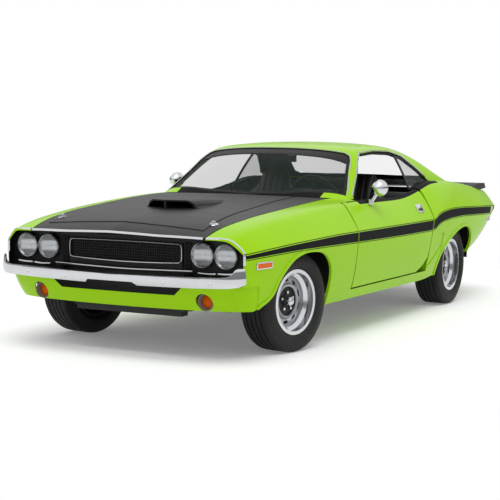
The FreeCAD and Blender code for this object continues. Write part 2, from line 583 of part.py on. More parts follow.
def make_front():
    bumper = front_blade()
    keep("front_bumper", bumper)
    rail_low = up(290)
    shelf = up(748)
    half = size("CabinHalf")
    apron_x = size("ApronX")
    pieces = [inside(block(-690, 690, aft(-640), aft(-630), up(330), up(745)))]
    pillar_y = aft(size("DoorHingeY"))
    for low_z, high_z in hinge_spans():
        strap = block(half - 10, size("DoorHingeX"), pillar_y - size("PinRadius"), pillar_y + size("PinRadius"),
                      low_z, high_z)
        hinge = strap.fuse(hinge_pin(low_z - 12, high_z + 12, size("PinRadius")))
        pieces += [hinge, flipped(hinge)]
    post = block(half - 45, half, aft(695), pillar_y + size("PinRadius"), up(296), up(700))
    pieces += [post, flipped(post)]
    apron_side = [(-640, 300), (-640, 752), (690, 752), (700, 300)]
    for side in (-1, 1):
        wall = side_prism(apron_side, min(side * apron_x, side * (apron_x - 10)),
                          max(side * apron_x, side * (apron_x - 10)))
        deck = block(min(side * 440, side * 1000), max(side * 440, side * 1000), aft(-635), aft(694),
                     shelf - 8, shelf)
        pieces += [wall, inside(deck)]
        pieces.append(block(min(side * 320, side * 400), max(side * 320, side * 400), aft(-640), aft(695),
                            rail_low, rail_low + 80))
        iron = [(-632, 476), (-815, 476), (-815, 484), (-632, 484)]
        pieces.append(bumper_iron(iron, side * 470, bumper, size("SeatFit")))
    toe = [(692, 286), (692, 650), (915, 690), (915, 960), (925, 960), (925, 682), (702, 642), (702, 286)]
    firewall = side_prism(toe, -half, half).common(hull(size("CowlDrop") + 2))
    firewall = firewall.cut(Part.makeCylinder(size("TunnelRadius"), 400, Vector(0, aft(600), up(330)),
                                              Vector(0, 1, 0)))
    pieces.append(biggest(firewall))
    pieces.append(block(-400, 400, aft(-60), aft(60), up(222), rail_low + 10))
    pieces.append(block(-380, 380, aft(-640), aft(-560), up(262), up(340)))
    # Cowl sunk below the hood, with a step up to the windscreen and slots for the hood's hinge arms.
    base = [(0, 876), (300, 901), (560, 964), (690, 1014), (745, 1032)]
    front_edge = [(x, y - 95) for x, y in base]
    cowl_zone = plan_prism(across(base) + [(x, y) for x, y in reversed(across(front_edge))], up(700), 1500)
    drop = size("CowlDrop")
    cowl = hull(drop).common(cowl_zone).cut(hull(drop + 10))
    step_zone = plan_prism(across([(x, y + 8) for x, y in base])
                           + list(reversed(across([(x, y - 2) for x, y in base]))), up(700), 1500)
    step = outer.common(step_zone).cut(hull(drop + 10))
    for side in (-1, 1):
        x = side * size("HoodHingeX")
        cowl = cowl.cut(block(x - 16, x + 16, aft(700), aft(930), up(700), 1500))
        bracket = block(min(x + 8.3 * side, x + 16 * side), max(x + 8.3 * side, x + 16 * side),
                        aft(size("HoodHingeY")) - 14, aft(920), up(size("HoodHingeZ")) - 20,
                        up(size("HoodHingeZ")) + 14)
        pin = rod(Vector(x + 12 * side, aft(size("HoodHingeY")), up(size("HoodHingeZ"))),
                  Vector(x - 8 * side, aft(size("HoodHingeY")), up(size("HoodHingeZ"))), size("PinRadius"))
        pieces += [bracket, pin]
    pieces += [biggest(cowl), biggest(step)]
    keep("front_structure", fused(pieces))

    valance = front_apron().common(block(-out(765) + seam / 2, out(765) - seam / 2, -3000, 3000, 0, 1500))
    mouth = [(0, 408), (405, 408), (455, 452), (455, 520), (0, 520)]
    valance = valance.cut(front_prism(mouth, aft(-900), aft(-600)))
    lamp_x = size("AmberX")
    lamp_z = up(size("AmberZ"))
    rim = size("AmberRadius")
    for side in (-1, 1):
        valance = valance.cut(rod(Vector(side * lamp_x, aft(-900), lamp_z),
                                  Vector(side * lamp_x, aft(-500), lamp_z), rim + size("LampFit")))
    keep("front_valance", biggest(valance))
    # Each amber lamp lies at the bottom of a conical bowl.
    bowl = [(0, 0), (-24, 0), (-22, rim * 0.4), (-14, rim * 0.75), (-50, rim - 3), (-52, rim), (0, rim)]
    ambers = [revolved(bowl, Vector(side * lamp_x, aft(-665), lamp_z), Vector(0, 1, 0)) for side in (-1, 1)]
    keep("amber_lamps", grouped(ambers))

    plate = inside(block(-1000, 1000, aft(-668), aft(-656), up(486), up(742)))
    plate = plate.cut(block(-395, 395, aft(-700), aft(-600), up(540), up(700)))
    lamps = []
    bezel = size("BezelRadius")
    lens = size("LampRadius")
    for x in (-717, -556, 556, 717):
        z = up(650)
        plate = plate.cut(rod(Vector(x, aft(-700), z), Vector(x, aft(-600), z), bezel + seam))
        depth = size("LampDepth")
        lamps.append(revolved([(0, 0), (-depth, 0), (-depth + 3, lens * 0.5), (-depth + 14, lens - 3),
                               (-depth + 2, lens), (-depth, bezel - 3), (-depth + 4, bezel), (0, bezel)],
                              Vector(x, aft(-645), z), Vector(0, 1, 0)))
    frame = block(-410, 410, aft(-680), aft(-668), up(528), up(712))
    frame = frame.cut(block(-398, 398, aft(-700), aft(-600), up(540), up(700)))
    bars = [frame, plate, grille_mesh()]
    for side in (-1, 1):
        for i in range(4):
            x = side * (426 + 12 * i)
            bars.append(block(x - 2.5, x + 2.5, aft(-676), aft(-662), up(510), up(720)))
    keep("grille", fused(bars))
    keep("headlamps", grouped(lamps))


def make_rear():
    panel = inside(block(-1000, 1000, aft(3862), aft(3872), up(400), up(880)))
    keep("tail_panel", panel)
    reds = [block(min(s * 150, s * 680), max(s * 150, s * 680), aft(3872), aft(3890), up(735), up(815))
            for s in (-1, 1)]
    keep("red_lamps", grouped(reds))


def make_floor():
    bumper = rear_blade()
    keep("rear_bumper", bumper)
    half = size("CabinHalf") + 9.4
    wall = size("FloorWall")
    line = [(704, 285), (2130, 285), (2190, 395), (2600, 420), (2680, 560), (2950, 575), (3050, 465), (3861, 465)]
    profile = line + [(y, z + wall) for y, z in reversed(line)]
    front = side_prism(profile, -half, half).common(block(-1000, 1000, -3000, aft(2430), 0, 1500))
    rear = side_prism(profile, -620, 620).common(block(-1000, 1000, aft(2430) - 1, 3000, 0, 1500))
    centre = Vector(0, aft(704), up(330))
    span = aft(2150) - aft(704)
    radius = size("TunnelRadius")
    tunnel = Part.makeCylinder(radius, span, centre, Vector(0, 1, 0))
    bore = Part.makeCylinder(radius - wall, span + 200, centre - Vector(0, 10, 0), Vector(0, 1, 0))
    ring = tunnel.cut(bore).common(block(-200, 200, -3000, 3000, up(285), 1500))
    pan = front.fuse(rear).cut(bore).fuse(ring)
    pieces = [pan]
    for side in (-1, 1):
        house = side_prism([(2430, 300), (2430, 700), (3150, 700), (3150, 330), (2990, 330), (2940, 410),
                            (2650, 410), (2600, 300)],
                           min(side * 610, side * 620), max(side * 610, side * 620))
        shelf = block(min(side * 612, side * 1000), max(side * 612, side * 1000), aft(2431), aft(3150),
                      up(692), up(700))
        pieces += [house, inside(shelf)]
        # Hangers over the ends of the rear springs.
        spring = size("SpringWidth") / 2
        near = side * size("SpringX") - spring
        far = near + size("SpringWidth")
        pieces.append(block(near, far, aft(2200), aft(2230), up(344) + size("SeatFit"), up(400)))
        pieces.append(block(near, far, aft(3370), aft(3400), up(374) + size("SeatFit"), up(470)))
        iron = [(3790, 465), (3862, 465), (3862, 583), (3942, 583), (3942, 597), (3850, 597), (3850, 477),
                (3790, 477)]
        pieces.append(bumper_iron(iron, side * 330, bumper, -size("SeatFit")))
    keep("floor_pan", fused(pieces))


# A front seat back from the front: wide shoulders under a narrow head rest.
def seat_outline(x):
    half = [(0, 1150), (95, 1150), (128, 1110), (130, 1000), (150, 960), (205, 915), (236, 850), (245, 740),
            (245, 400), (0, 400)]
    face = Part.Face(wire_of([Vector(x + a, aft(1700), up(z)) for a, z in both_sides(half)]))
    return face.extrude(Vector(0, 600, 0))


def make_cabin():
    dash_side = [(938, 760), (1060, 720), (1110, 800), (1100, 890), (1040, 915), (938, 905)]
    dash = side_prism(dash_side, -735, 735).common(hull(size("CowlDrop") + 10 + size("SeatFit")))
    hub = Vector(370, aft(1262), up(880))
    lean = Vector(0, cos(radians(19)), sin(radians(19)))
    column = rod(hub - lean * 270, hub - lean * 30.3, 24)
    keep("dashboard", fused([dash, column]))
    seats = []
    floor_top = up(295)
    for x in (-370, 370):
        base = rounded_block(x - 250, x + 250, aft(1390), aft(1900), floor_top + 105, floor_top + 245, 40)
        lean = [(1850, 520), (1985, 500), (2120, 850), (2160, 1075), (2080, 1080), (1990, 850)]
        back = side_prism(lean, x - 245, x + 245).common(seat_outline(x))
        rails = block(x - 200, x + 200, aft(1450), aft(1840), floor_top, floor_top + 110)
        seats.append(fused([base, back, rails]))
    keep("front_seats", grouped(seats))
    bench = rounded_block(-600, 600, aft(2215), aft(2590), up(428), up(565), 30)
    rest_side = [(2520, 545), (2640, 562), (2770, 900), (2690, 920)]
    keep("rear_seat", fused([bench, side_prism(rest_side, -590, 590)]))
    rim_radius = size("SteeringWheelRadius")
    ring = Part.makeTorus(rim_radius, size("SteeringRimRadius"))
    hub = Part.makeCylinder(42, 40, Vector(0, 0, -30))
    spokes = [rod(Vector(0, 0, -8), Vector(rim_radius * cos(a), rim_radius * sin(a), 0), 9)
              for a in (radians(10), radians(170), radians(270))]
    wheel = fused([ring, hub] + spokes)
    rake = Rotation(Vector(0, 0, 1), Vector(0, cos(radians(19)), sin(radians(19))))
    keep("steering_wheel", wheel, Placement(Vector(370, aft(1262), up(880)), rake))
    mirror = block(-120, 120, aft(1440), aft(1462), up(1150), up(1200))
    stem = rod(Vector(0, aft(1450), up(1190)), Vector(0, aft(1440), up(1300)), 7)
    stem = stem.common(greenhouse(size("RoofWall") + 0.3))
    keep("interior_mirror", fused([mirror, stem]))


def make_running_gear():
    engine = doc.addObject("Part::Box", "engine")
    engine.setExpression("Length", "Sizes.EngineWidth")
    engine.setExpression("Width", "Sizes.EngineLength")
    engine.setExpression("Height", "Sizes.EngineHeight - 30")
    engine.Placement.Base = Vector(-size("EngineWidth") / 2, aft(-470), up(300) + 0.3)
    doc.recompute()
    sub_parts.append(engine)
    gearbox = Part.makeCone(150, 95, aft(560) - aft(250) - 0.3, Vector(0, aft(250) + 0.3, up(370)), Vector(0, 1, 0))
    tail_shaft = rod(Vector(0, aft(540), up(360)), Vector(0, aft(1020), up(350)), 70)
    shaft = rod(Vector(0, aft(1000), up(350)), Vector(0, aft(2645), up(322)), 38)
    keep("driveline", fused([gearbox, tail_shaft, shaft]))

    half_axle = 660
    height = axle_height
    tube = rod(Vector(-half_axle, rear_axle, height), Vector(half_axle, rear_axle, height), size("AxleTube"))
    pumpkin = rod(Vector(-95, rear_axle, height), Vector(95, rear_axle, height), 138)
    reach = size("RearTrack / 2") + 19
    hubs = rod(Vector(-reach, rear_axle, height), Vector(reach, rear_axle, height), size("HubBore - PinFit"))
    drums = [rod(Vector(side * 655, rear_axle, height), Vector(side * (655 + size("DrumWidth")), rear_axle, height),
                 size("DrumRadius")) for side in (-1, 1)]
    pieces = [tube, pumpkin, hubs] + drums
    half = size("SpringWidth") / 2
    for x in (-size("SpringX"), size("SpringX")):
        leaf = side_prism([(2200, 330), (2500, 282), (2790, 262), (3080, 290), (3400, 360), (3400, 374),
                           (3080, 304), (2790, 276), (2500, 296), (2200, 344)], x - half, x + half)
        pad = block(x - half, x + half, rear_axle - 55, rear_axle + 55, up(262), height)
        pieces += [leaf, pad]
    keep("rear_axle", fused(pieces))

    arms = []
    for side in (-1, 1):
        low_z = axle_height - 82
        lower = Part.Face(wire_of([Vector(side * x, front_axle + y, low_z) for x, y in
                                   [(404, -150), (404, 150), (676, 22), (676, -22)]])).extrude(Vector(0, 0, 22))
        upper = Part.Face(wire_of([Vector(side * x, front_axle + y, low_z + 190) for x, y in
                                   [(448.3, -90), (448.3, 90), (676, 20), (676, -20)]])).extrude(Vector(0, 0, 20))
        damper = rod(Vector(side * 520, front_axle, low_z + 10), Vector(side * 492, front_axle, low_z + 330), 26)
        arms.append(fused([lower, upper, damper]))
    keep("front_suspension", grouped(arms))

    pipes = []
    for side in (-1, 1):
        path = [(235, 280, 235), (235, 2470, 235), (300, 2700, 455), (400, 2900, 455), (465, 3150, 300),
                (465, 3905, 300)]
        line = [Vector(side * x, aft(y), up(z)) for x, y, z in path]
        pipe = bent_rod(line, size("PipeRadius"), 110)
        tip = line[-1]
        pipe = pipe.cut(rod(tip - Vector(0, 120, 0), tip + Vector(0, 1, 0), size("PipeRadius - PipeWall")))
        silencer = rod(Vector(side * 235, aft(1300), up(235)), Vector(side * 235, aft(1800), up(235)), 45)
        hangers = [block(side * 235 - 15, side * 235 + 15, aft(y), aft(y + 20), up(235), up(285) - 0.3)
                   for y in (1400, 1700)]
        pipes.append(fused([pipe, silencer] + hangers))
    keep("exhaust", grouped(pipes))
    tank = rounded_block(-size("TankWidth") / 2, size("TankWidth") / 2, aft(3190), aft(3190) + size("TankLength"),
                         up(465) - size("TankDepth"), up(465) - 0.3, 25)
    keep("fuel_tank", tank)


# The front wheels are stored turned a little to the car's right.
def steered(side):
    pivot = Vector(side * size("KingpinX"), front_axle, 0)
    return Placement(Vector(), Rotation(Vector(0, 0, 1), -size("SteerRest")), pivot)


def make_knuckle(side, label):
    pin_x = side * size("KingpinX")
    track = side * size("FrontTrack") / 2
    post = block(min(pin_x - side * 22, pin_x + side * 12), max(pin_x - side * 22, pin_x + side * 12),
                 front_axle - 26, front_axle + 26, axle_height - 59.7, axle_height + 107.7)
    spindle = rod(Vector(pin_x, front_axle, axle_height), Vector(track + side * 19, front_axle, axle_height),
                  size("HubBore - PinFit"))
    plate_x = pin_x + side * 12
    plate = Part.makeCylinder(size("DrumRadius"), 6, Vector(plate_x, front_axle, axle_height), Vector(side, 0, 0))
    keep(label, fused([post, spindle, plate]), steered(side))


def sketch_loop(body, name, points):
    sketch = body.newObject("Sketcher::SketchObject", name)
    sketch.AttachmentSupport = [(origin_feature(body, "XZ_Plane"), "")]
    sketch.MapMode = "FlatFace"
    corners = [Vector(size(a), size(r), 0) for a, r in points]
    count = len(corners)
    for i in range(count):
        sketch.addGeometry(Part.LineSegment(corners[i], corners[(i + 1) % count]))
    for i in range(count):
        sketch.addConstraint(Sketcher.Constraint("Coincident", i, 2, (i + 1) % count, 1))
    for i, (a, r) in enumerate(points):
        for kind, place, axis in (("DistanceX", a, -2), ("DistanceY", r, -1)):
            if abs(size(place)) < 1e-6:
                sketch.addConstraint(Sketcher.Constraint("PointOnObject", i, 1, axis))
            else:
                held = sketch.addConstraint(Sketcher.Constraint(kind, -1, 1, i, 1, size(place)))
                sketch.setExpression(f"Constraints[{held}]", bound(place))
    return sketch


def bound(expression):
    words = expression.replace("(", "( ").replace(")", " )").split()
    return " ".join("Sizes." + w if w[0].isalpha() else w for w in words)


RIM_PROFILE = [
    ("RimWidth / 2 + 8", "RimRadius + FlangeRise"), ("RimWidth / 2", "RimRadius + FlangeRise"),
    ("RimWidth / 2", "RimRadius"), ("RimWidth / 2 - 40", "RimRadius"), ("RimWidth / 2 - 58", "RimRadius - 22"),
    ("20 - RimWidth / 2", "RimRadius - 22"), ("8 - RimWidth / 2", "RimRadius"), ("0 - RimWidth / 2", "RimRadius"),
    ("0 - RimWidth / 2", "RimRadius + FlangeRise"), ("-8 - RimWidth / 2", "RimRadius + FlangeRise"),
    ("-8 - RimWidth / 2", "RimRadius - RimWall"), ("4 - RimWidth / 2", "RimRadius - RimWall"),
    ("16 - RimWidth / 2", "RimRadius - 22 - RimWall"), ("-4", "RimRadius - 22 - RimWall"),
    ("DiscDish - 24", "SlotCircle + 16"), ("DiscDish - 16", "RidgeRadius + 16"),
    ("DiscDish - 4", "RidgeRadius + 4"), ("DiscDish - 6", "RidgeRadius - 4"),
    ("DiscDish - 22", "RidgeRadius - 10"), ("DiscDish - 22", "HubBore"), ("DiscDish - 10", "HubBore"),
    ("DiscDish - 10", "0"), ("DiscDish + 40", "0"), ("DiscDish + 38", "18"), ("DiscDish + 30", "28"),
    ("DiscDish - 8", "HubBore - 4"), ("DiscDish - 8", "HubBore + 6"), ("DiscDish - 14", "HubBore + 8"),
    ("DiscDish - 14", "RidgeRadius - 14"), ("DiscDish + 4", "RidgeRadius - 5"),
    ("DiscDish + 6", "RidgeRadius + 6"), ("DiscDish - 8", "RidgeRadius + 16"),
    ("DiscDish - 14", "SlotCircle + 16"), ("8", "RimRadius - 22 - RimWall"),
    ("RimWidth / 2 - 54", "RimRadius - 22 - RimWall"), ("RimWidth / 2 - 36", "RimRadius - RimWall"),
    ("RimWidth / 2 + 8", "RimRadius - RimWall"),
]
TYRE_PROFILE = [
    ("RimWidth / 2 - TyreFit", "RimRadius + TyreFit"), ("RimWidth / 2 - TyreFit", "RimRadius + FlangeRise + 1"),
    ("RimWidth / 2 + 12", "RimRadius + FlangeRise + 8"), ("TyreWidth / 2 - 3", "RimRadius + 44"),
    ("TyreWidth / 2", "RimRadius + 60"), ("TyreWidth / 2 - 3", "RimRadius + 82"),
    ("TyreWidth / 2 - 12", "TyreRadius - 22"), ("TreadWidth / 2 + 3", "TyreRadius - 8"),
    ("TreadWidth / 2 - 10", "TyreRadius - 1.5"), ("TreadWidth / 4", "TyreRadius"),
]


def origin_feature(body, role):
    return next(f for f in body.Origin.OriginFeatures if f.Role == role)


def cross_sketch(body, name):
    sketch = body.newObject("Sketcher::SketchObject", name)
    sketch.AttachmentSupport = [(origin_feature(body, "YZ_Plane"), "")]
    sketch.MapMode = "FlatFace"
    return sketch


def held(sketch, kind, geometry, point, expression):
    number = sketch.addConstraint(Sketcher.Constraint(kind, -1, 1, geometry, point, size(expression)))
    sketch.setExpression(f"Constraints[{number}]", bound(expression))


def repeated(body, feature, name, count):
    pattern = body.newObject("PartDesign::PolarPattern", name)
    pattern.Originals = [feature]
    pattern.Axis = (origin_feature(body, "X_Axis"), [""])
    pattern.Angle = 360
    pattern.setExpression("Occurrences", bound(count))
    body.Tip = pattern


# Rounded slots round the disc, and the nuts on the lug circle.
def add_slots(rim, label):
    sketch = cross_sketch(rim, f"slot_{label}")
    radius = size("SlotRadius")
    circle = size("SlotCircle")
    half = size("SlotHalf")
    up_z = Vector(0, 0, 1)
    right = Part.ArcOfCircle(Part.Circle(Vector(half, circle, 0), up_z, radius), -pi / 2, pi / 2)
    left = Part.ArcOfCircle(Part.Circle(Vector(-half, circle, 0), up_z, radius), pi / 2, 3 * pi / 2)
    for piece in (right, left):
        sketch.addGeometry(piece)
    for edge in (1, -1):
        y = circle + edge * radius
        sketch.addGeometry(Part.LineSegment(Vector(half * edge, y, 0), Vector(-half * edge, y, 0)))
    for arc, start, line, end in ((0, 2, 2, 1), (1, 1, 2, 2), (1, 2, 3, 1), (0, 1, 3, 2)):
        sketch.addConstraint(Sketcher.Constraint("Tangent", arc, start, line, end))
    held(sketch, "DistanceX", 0, 3, "SlotHalf")
    held(sketch, "DistanceY", 0, 3, "SlotCircle")
    held(sketch, "DistanceX", 1, 3, "0 - SlotHalf")
    number = sketch.addConstraint(Sketcher.Constraint("Radius", 0, radius))
    sketch.setExpression(f"Constraints[{number}]", "Sizes.SlotRadius")
    slot = rim.newObject("PartDesign::Pocket", f"slot_cut_{label}")
    slot.Profile = sketch
    slot.Reversed = True
    slot.Type = "Length"
    slot.setExpression("Length", "Sizes.RimWidth / 2")
    repeated(rim, slot, f"slots_{label}", "SlotCount")


def add_lugs(rim, label):
    sketch = cross_sketch(rim, f"lug_{label}")
    sketch.addGeometry(Part.Circle(Vector(0, size("LugCircle"), 0), Vector(0, 0, 1), size("LugRadius")))
    sketch.addConstraint(Sketcher.Constraint("PointOnObject", 0, 3, -2))
    held(sketch, "DistanceY", 0, 3, "LugCircle")
    number = sketch.addConstraint(Sketcher.Constraint("Radius", 0, size("LugRadius")))
    sketch.setExpression(f"Constraints[{number}]", "Sizes.LugRadius")
    nut = rim.newObject("PartDesign::Pad", f"lug_pad_{label}")
    nut.Profile = sketch
    nut.setExpression("Length", "Sizes.LugReach")
    repeated(rim, nut, f"lugs_{label}", "LugCount")


def make_wheel(side, end, label):
    mirrored_tyre = [(f"0 - ( {a} )", r) for a, r in reversed(TYRE_PROFILE)]
    spin = size("FrontTrack") / 2 if end == "front" else size("RearTrack") / 2
    axle = front_axle if end == "front" else rear_axle
    place = Placement(Vector(side * spin, axle, axle_height), Rotation(Vector(0, 0, 1), 0 if side > 0 else 180))
    if end == "front":
        place = steered(side).multiply(place)
    rim = doc.addObject("PartDesign::Body", f"rim_{label}")
    rim.Label = f"rim_{label}"
    profile = sketch_loop(rim, f"rim_profile_{label}", RIM_PROFILE)
    turned = rim.newObject("PartDesign::Revolution", f"rim_turned_{label}")
    turned.Profile = profile
    turned.ReferenceAxis = (profile, ["H_Axis"])
    turned.Angle = 360
    doc.recompute()
    add_slots(rim, label)
    add_lugs(rim, label)
    rim.Placement = place
    tyre = doc.addObject("PartDesign::Body", f"tyre_{label}")
    tyre.Label = f"tyre_{label}"
    ring = sketch_loop(tyre, f"tyre_profile_{label}", TYRE_PROFILE + mirrored_tyre)
    casing = tyre.newObject("PartDesign::Revolution", f"tyre_casing_{label}")
    casing.Profile = ring
    casing.ReferenceAxis = (ring, ["H_Axis"])
    casing.Angle = 360
    tyre.Placement = place
    doc.recompute()
    sub_parts.extend([rim, tyre])


# The hood scoop across the car, as a half width and a top height, with a flared foot outside.
def scoop_section(y, half, top, inset):
    flare = 0 if inset else 32
    half -= inset
    top -= inset
    points = [(0, top), (0.70 * half, top - 3), (0.86 * half, top - 12), (0.96 * half, top - 28), (half, top - 46),
              (half + flare, top - 62), (half + flare, 820)]
    return wire_of([Vector(x, aft(y), up(z)) for x, z in both_sides(points)])


SCOOP_STATIONS = [(-240, 1.0, 938), (-80, 1.0, 941), (90, 1.06, 942), (260, 0.94, 932), (430, 0.72, 900)]
SCOOP_PLAN = [(0, -215), (205, -110), (260, 90), (260, 500), (0, 500)]


def scoop_body(inset):
    return loft([scoop_section(y, share * size("ScoopHalf"), top, inset) for y, share, top in SCOOP_STATIONS])


def make_scoop():
    scoop = scoop_body(0).common(plan_prism(both_sides(SCOOP_PLAN), 700, 1500))
    mouth = scoop_body(size("ScoopWall")).common(block(-400, 400, aft(-300), aft(120), 0, 1500))
    mouth = mouth.cut(block(-7, 7, aft(-300), aft(200), 0, 1500))
    scoop = scoop.cut(mouth).cut(hull(-size("HoodRise")))
    keep("hood_scoop", biggest(scoop))


def make_mirrors():
    for side, name, back in ((1, "mirror_left", 0), (-1, "mirror_right", size("MirrorSetback"))):
        head = revolved([(0, 0), (0, 56), (12, 58), (60, 44), (84, 20), (90, 0)],
                        Vector(side * 905, aft(1196 + back), up(992)), Vector(0, -1, 0))
        foot = rod(Vector(side * 854, aft(1150 + back), up(890)), Vector(side * 900, aft(1165 + back), up(965)), 11)
        base = Part.makeCylinder(26, 38, Vector(side * 845, aft(1150 + back), up(875)), Vector(0, 0, 1))
        keep(name, fused([head, foot, base]).cut(hull(0)))


make_panels()
make_greenhouse()
make_front()
make_rear()
make_floor()
make_cabin()
make_running_gear()
make_scoop()
make_mirrors()
for side, name in ((1, "left"), (-1, "right")):
    make_knuckle(side, f"knuckle_{name}")
    make_wheel(side, "front", f"front_{name}")
    make_wheel(side, "rear", f"rear_{name}")

doc.recompute()
broken = [o.Name for o in doc.Objects if "Invalid" in o.State or "Error" in o.State]
broken += [o.Label for o in sub_parts if o.Shape.isNull() or not o.Shape.isValid()]
for item in sub_parts:
    box = item.Shape.BoundBox
    print(item.Label, len(item.Shape.Solids), round(item.Shape.Volume / 1e6, 2),
          [round(v) for v in (box.XMin, box.XMax, box.YMin, box.YMax, box.ZMin, box.ZMax)])
if broken:
    raise ValueError(f"not sound: {broken}")
os.makedirs("parts", exist_ok=True)
for item in sub_parts:
    item.Shape.exportStep(f"parts/{item.Label}.step")
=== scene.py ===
import json
import math
import bpy
import numpy as np
from mathutils import Matrix, Vector


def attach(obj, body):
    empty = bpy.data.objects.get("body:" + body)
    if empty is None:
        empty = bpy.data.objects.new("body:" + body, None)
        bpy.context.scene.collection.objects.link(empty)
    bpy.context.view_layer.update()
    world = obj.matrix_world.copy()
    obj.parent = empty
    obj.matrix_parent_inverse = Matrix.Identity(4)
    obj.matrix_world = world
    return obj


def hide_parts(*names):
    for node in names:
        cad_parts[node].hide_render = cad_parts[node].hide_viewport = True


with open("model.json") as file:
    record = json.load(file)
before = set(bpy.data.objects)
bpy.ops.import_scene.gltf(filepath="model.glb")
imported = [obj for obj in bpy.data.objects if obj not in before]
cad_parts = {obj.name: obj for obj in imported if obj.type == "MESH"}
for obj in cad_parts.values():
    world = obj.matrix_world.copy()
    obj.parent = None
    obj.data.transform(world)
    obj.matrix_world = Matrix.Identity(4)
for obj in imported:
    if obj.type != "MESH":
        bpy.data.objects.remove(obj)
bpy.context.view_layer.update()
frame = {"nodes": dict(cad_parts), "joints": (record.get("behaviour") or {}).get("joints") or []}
nodes = frame["nodes"]
joints = {joint["name"]: joint for joint in frame["joints"]}
frontAxle = joints["left_steer"]["pos_m"][1]
forward, downward = (0, -1, 0), (0, 0, -1)
sides = ((1, "left"), (-1, "right"))
wheels = ("front_left", "front_right", "rear_left", "rear_right")
print("frame:", len(nodes), "nodes")


def aft(distance):  # metres behind the front axle
    return frontAxle + distance


# Picking, editing and finishing pieces
def deselect():
    bpy.ops.object.select_all(action="DESELECT")


def only(*pieces):
    if bpy.context.mode != "OBJECT":
        bpy.ops.object.mode_set(mode="OBJECT")
    deselect()
    for piece in pieces:
        piece.select_set(True)
    bpy.context.view_layer.objects.active = pieces[0]


def applied(piece):
    only(piece)
    bpy.ops.object.transform_apply(location=True, rotation=True, scale=True)
    return piece


def corners(piece):
    flat = np.zeros(len(piece.data.vertices) * 3)
    piece.data.vertices.foreach_get("co", flat)
    return flat.reshape(-1, 3)


def moved(piece, points):
    piece.data.vertices.foreach_set("co", points.ravel())
    piece.data.update()
    return piece


def modified(piece, kind, **settings):
    only(piece)
    modifier = piece.modifiers.new(kind.title(), kind)
    for key, value in settings.items():
        setattr(modifier, key, value)
    bpy.ops.object.modifier_apply(modifier=modifier.name)
    return piece


def joined(pieces):
    only(*pieces)
    if len(pieces) > 1:
        bpy.ops.object.join()
    return bpy.context.object


def finished(piece, name, body, look, smooth=40):
    applied(piece)
    bpy.ops.object.shade_smooth_by_angle(angle=math.radians(smooth))
    piece.name = name
    piece.data.name = name
    piece.data.materials.clear()
    piece.data.materials.append(look)
    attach(piece, body)
    return piece


# A turned piece: a circle extruded and resized along its profile of (height, radius)
def turned(profile, steps, closed=False):
    height, radius = profile[0]
    deselect()
    bpy.ops.mesh.primitive_circle_add(vertices=steps, radius=radius, location=(0, 0, height))
    bpy.ops.object.mode_set(mode="EDIT")
    bpy.ops.mesh.select_all(action="SELECT")
    if not closed:
        bpy.ops.mesh.edge_face_add()
        bpy.ops.mesh.select_all(action="SELECT")
    for nextHeight, nextRadius in profile[1:] + (profile[:1] if closed else []):
        bpy.ops.mesh.extrude_edges_move(TRANSFORM_OT_translate={"value": (0, 0, nextHeight - height)})
        share = nextRadius / radius
        bpy.ops.transform.resize(value=(share, share, 1), center_override=(0, 0, nextHeight))
        height, radius = nextHeight, nextRadius
    if not closed:
        bpy.ops.mesh.edge_face_add()
    bpy.ops.mesh.select_all(action="SELECT")
    bpy.ops.mesh.remove_doubles(threshold=0.00001)
    bpy.ops.mesh.normals_make_consistent(inside=False)
    bpy.ops.object.mode_set(mode="OBJECT")
    return applied(bpy.context.object)


# Turned pieces stand on their Z axis and are then laid along a direction
def turnedAt(profile, steps, centre, direction, closed=False):
    piece = turned(profile, steps, closed)
    turn = Vector(direction).to_track_quat("Z", "Y").to_matrix().to_4x4()
    piece.matrix_world = Matrix.Translation(centre) @ turn @ piece.matrix_world
    return applied(piece)


# A round strip that follows points
def strip(points, radius, closed=False):
    deselect()
    bpy.ops.curve.primitive_bezier_curve_add()
    path = bpy.context.object
    spline = path.data.splines[0]
    spline.bezier_points.add(len(points) - 2)
    for knot, point in zip(spline.bezier_points, points):
        knot.co = point
        knot.handle_left_type = knot.handle_right_type = "AUTO"
    spline.use_cyclic_u = closed
    path.data.dimensions = "3D"
    path.data.resolution_u = 4
    path.data.bevel_depth = radius
    path.data.bevel_resolution = 2
    path.data.use_fill_caps = True
    only(path)
    bpy.ops.object.convert(target="MESH")
    return bpy.context.object


# Where a ray meets the CAD nodes first
def touch(names, start, direction):
    best = None
    for name in names:
        hit, place, normal, _ = nodes[name].ray_cast(Vector(start), Vector(direction))
        if hit and (best is None or (place - Vector(start)).length < best[2]):
            best = (place, normal, (place - Vector(start)).length)
    return best[:2] if best else (None, None)


def cast(names, starts, direction):
    places = [touch(names, start, direction)[0] for start in starts]
    return [place for place in places if place is not None]


# Shader maths as expressions
class Wire:
    def __init__(self, look, socket):
        self.look = look
        self.socket = socket

    def calc(self, operation, other=None, swapped=False):
        values = [self] if other is None else [other, self] if swapped else [self, other]
        return self.look.make("ShaderNodeMath", {"operation": operation}, dict(enumerate(values)))

    def __add__(self, other):
        return self.calc("ADD", other)

    def __sub__(self, other):
        return self.calc("SUBTRACT", other)

    def __rsub__(self, other):
        return self.calc("SUBTRACT", other, True)

    def __mul__(self, other):
        return self.calc("MULTIPLY", other)

    def __truediv__(self, other):
        return self.calc("DIVIDE", other)

    def __pow__(self, other):
        return self.calc("POWER", other)

    __radd__ = __add__
    __rmul__ = __mul__

    def over(self, edge, soft=0.0005):  # 0 below the edge, 1 above it
        return self.look.make("ShaderNodeMapRange", {"interpolation_type": "SMOOTHSTEP"},
                              {0: self, 1: edge - soft, 2: edge + soft, 3: 0.0, 4: 1.0})

    def size(self):
        return self.calc("ABSOLUTE")

    def capped(self):
        return self.calc("MINIMUM", 1.0)


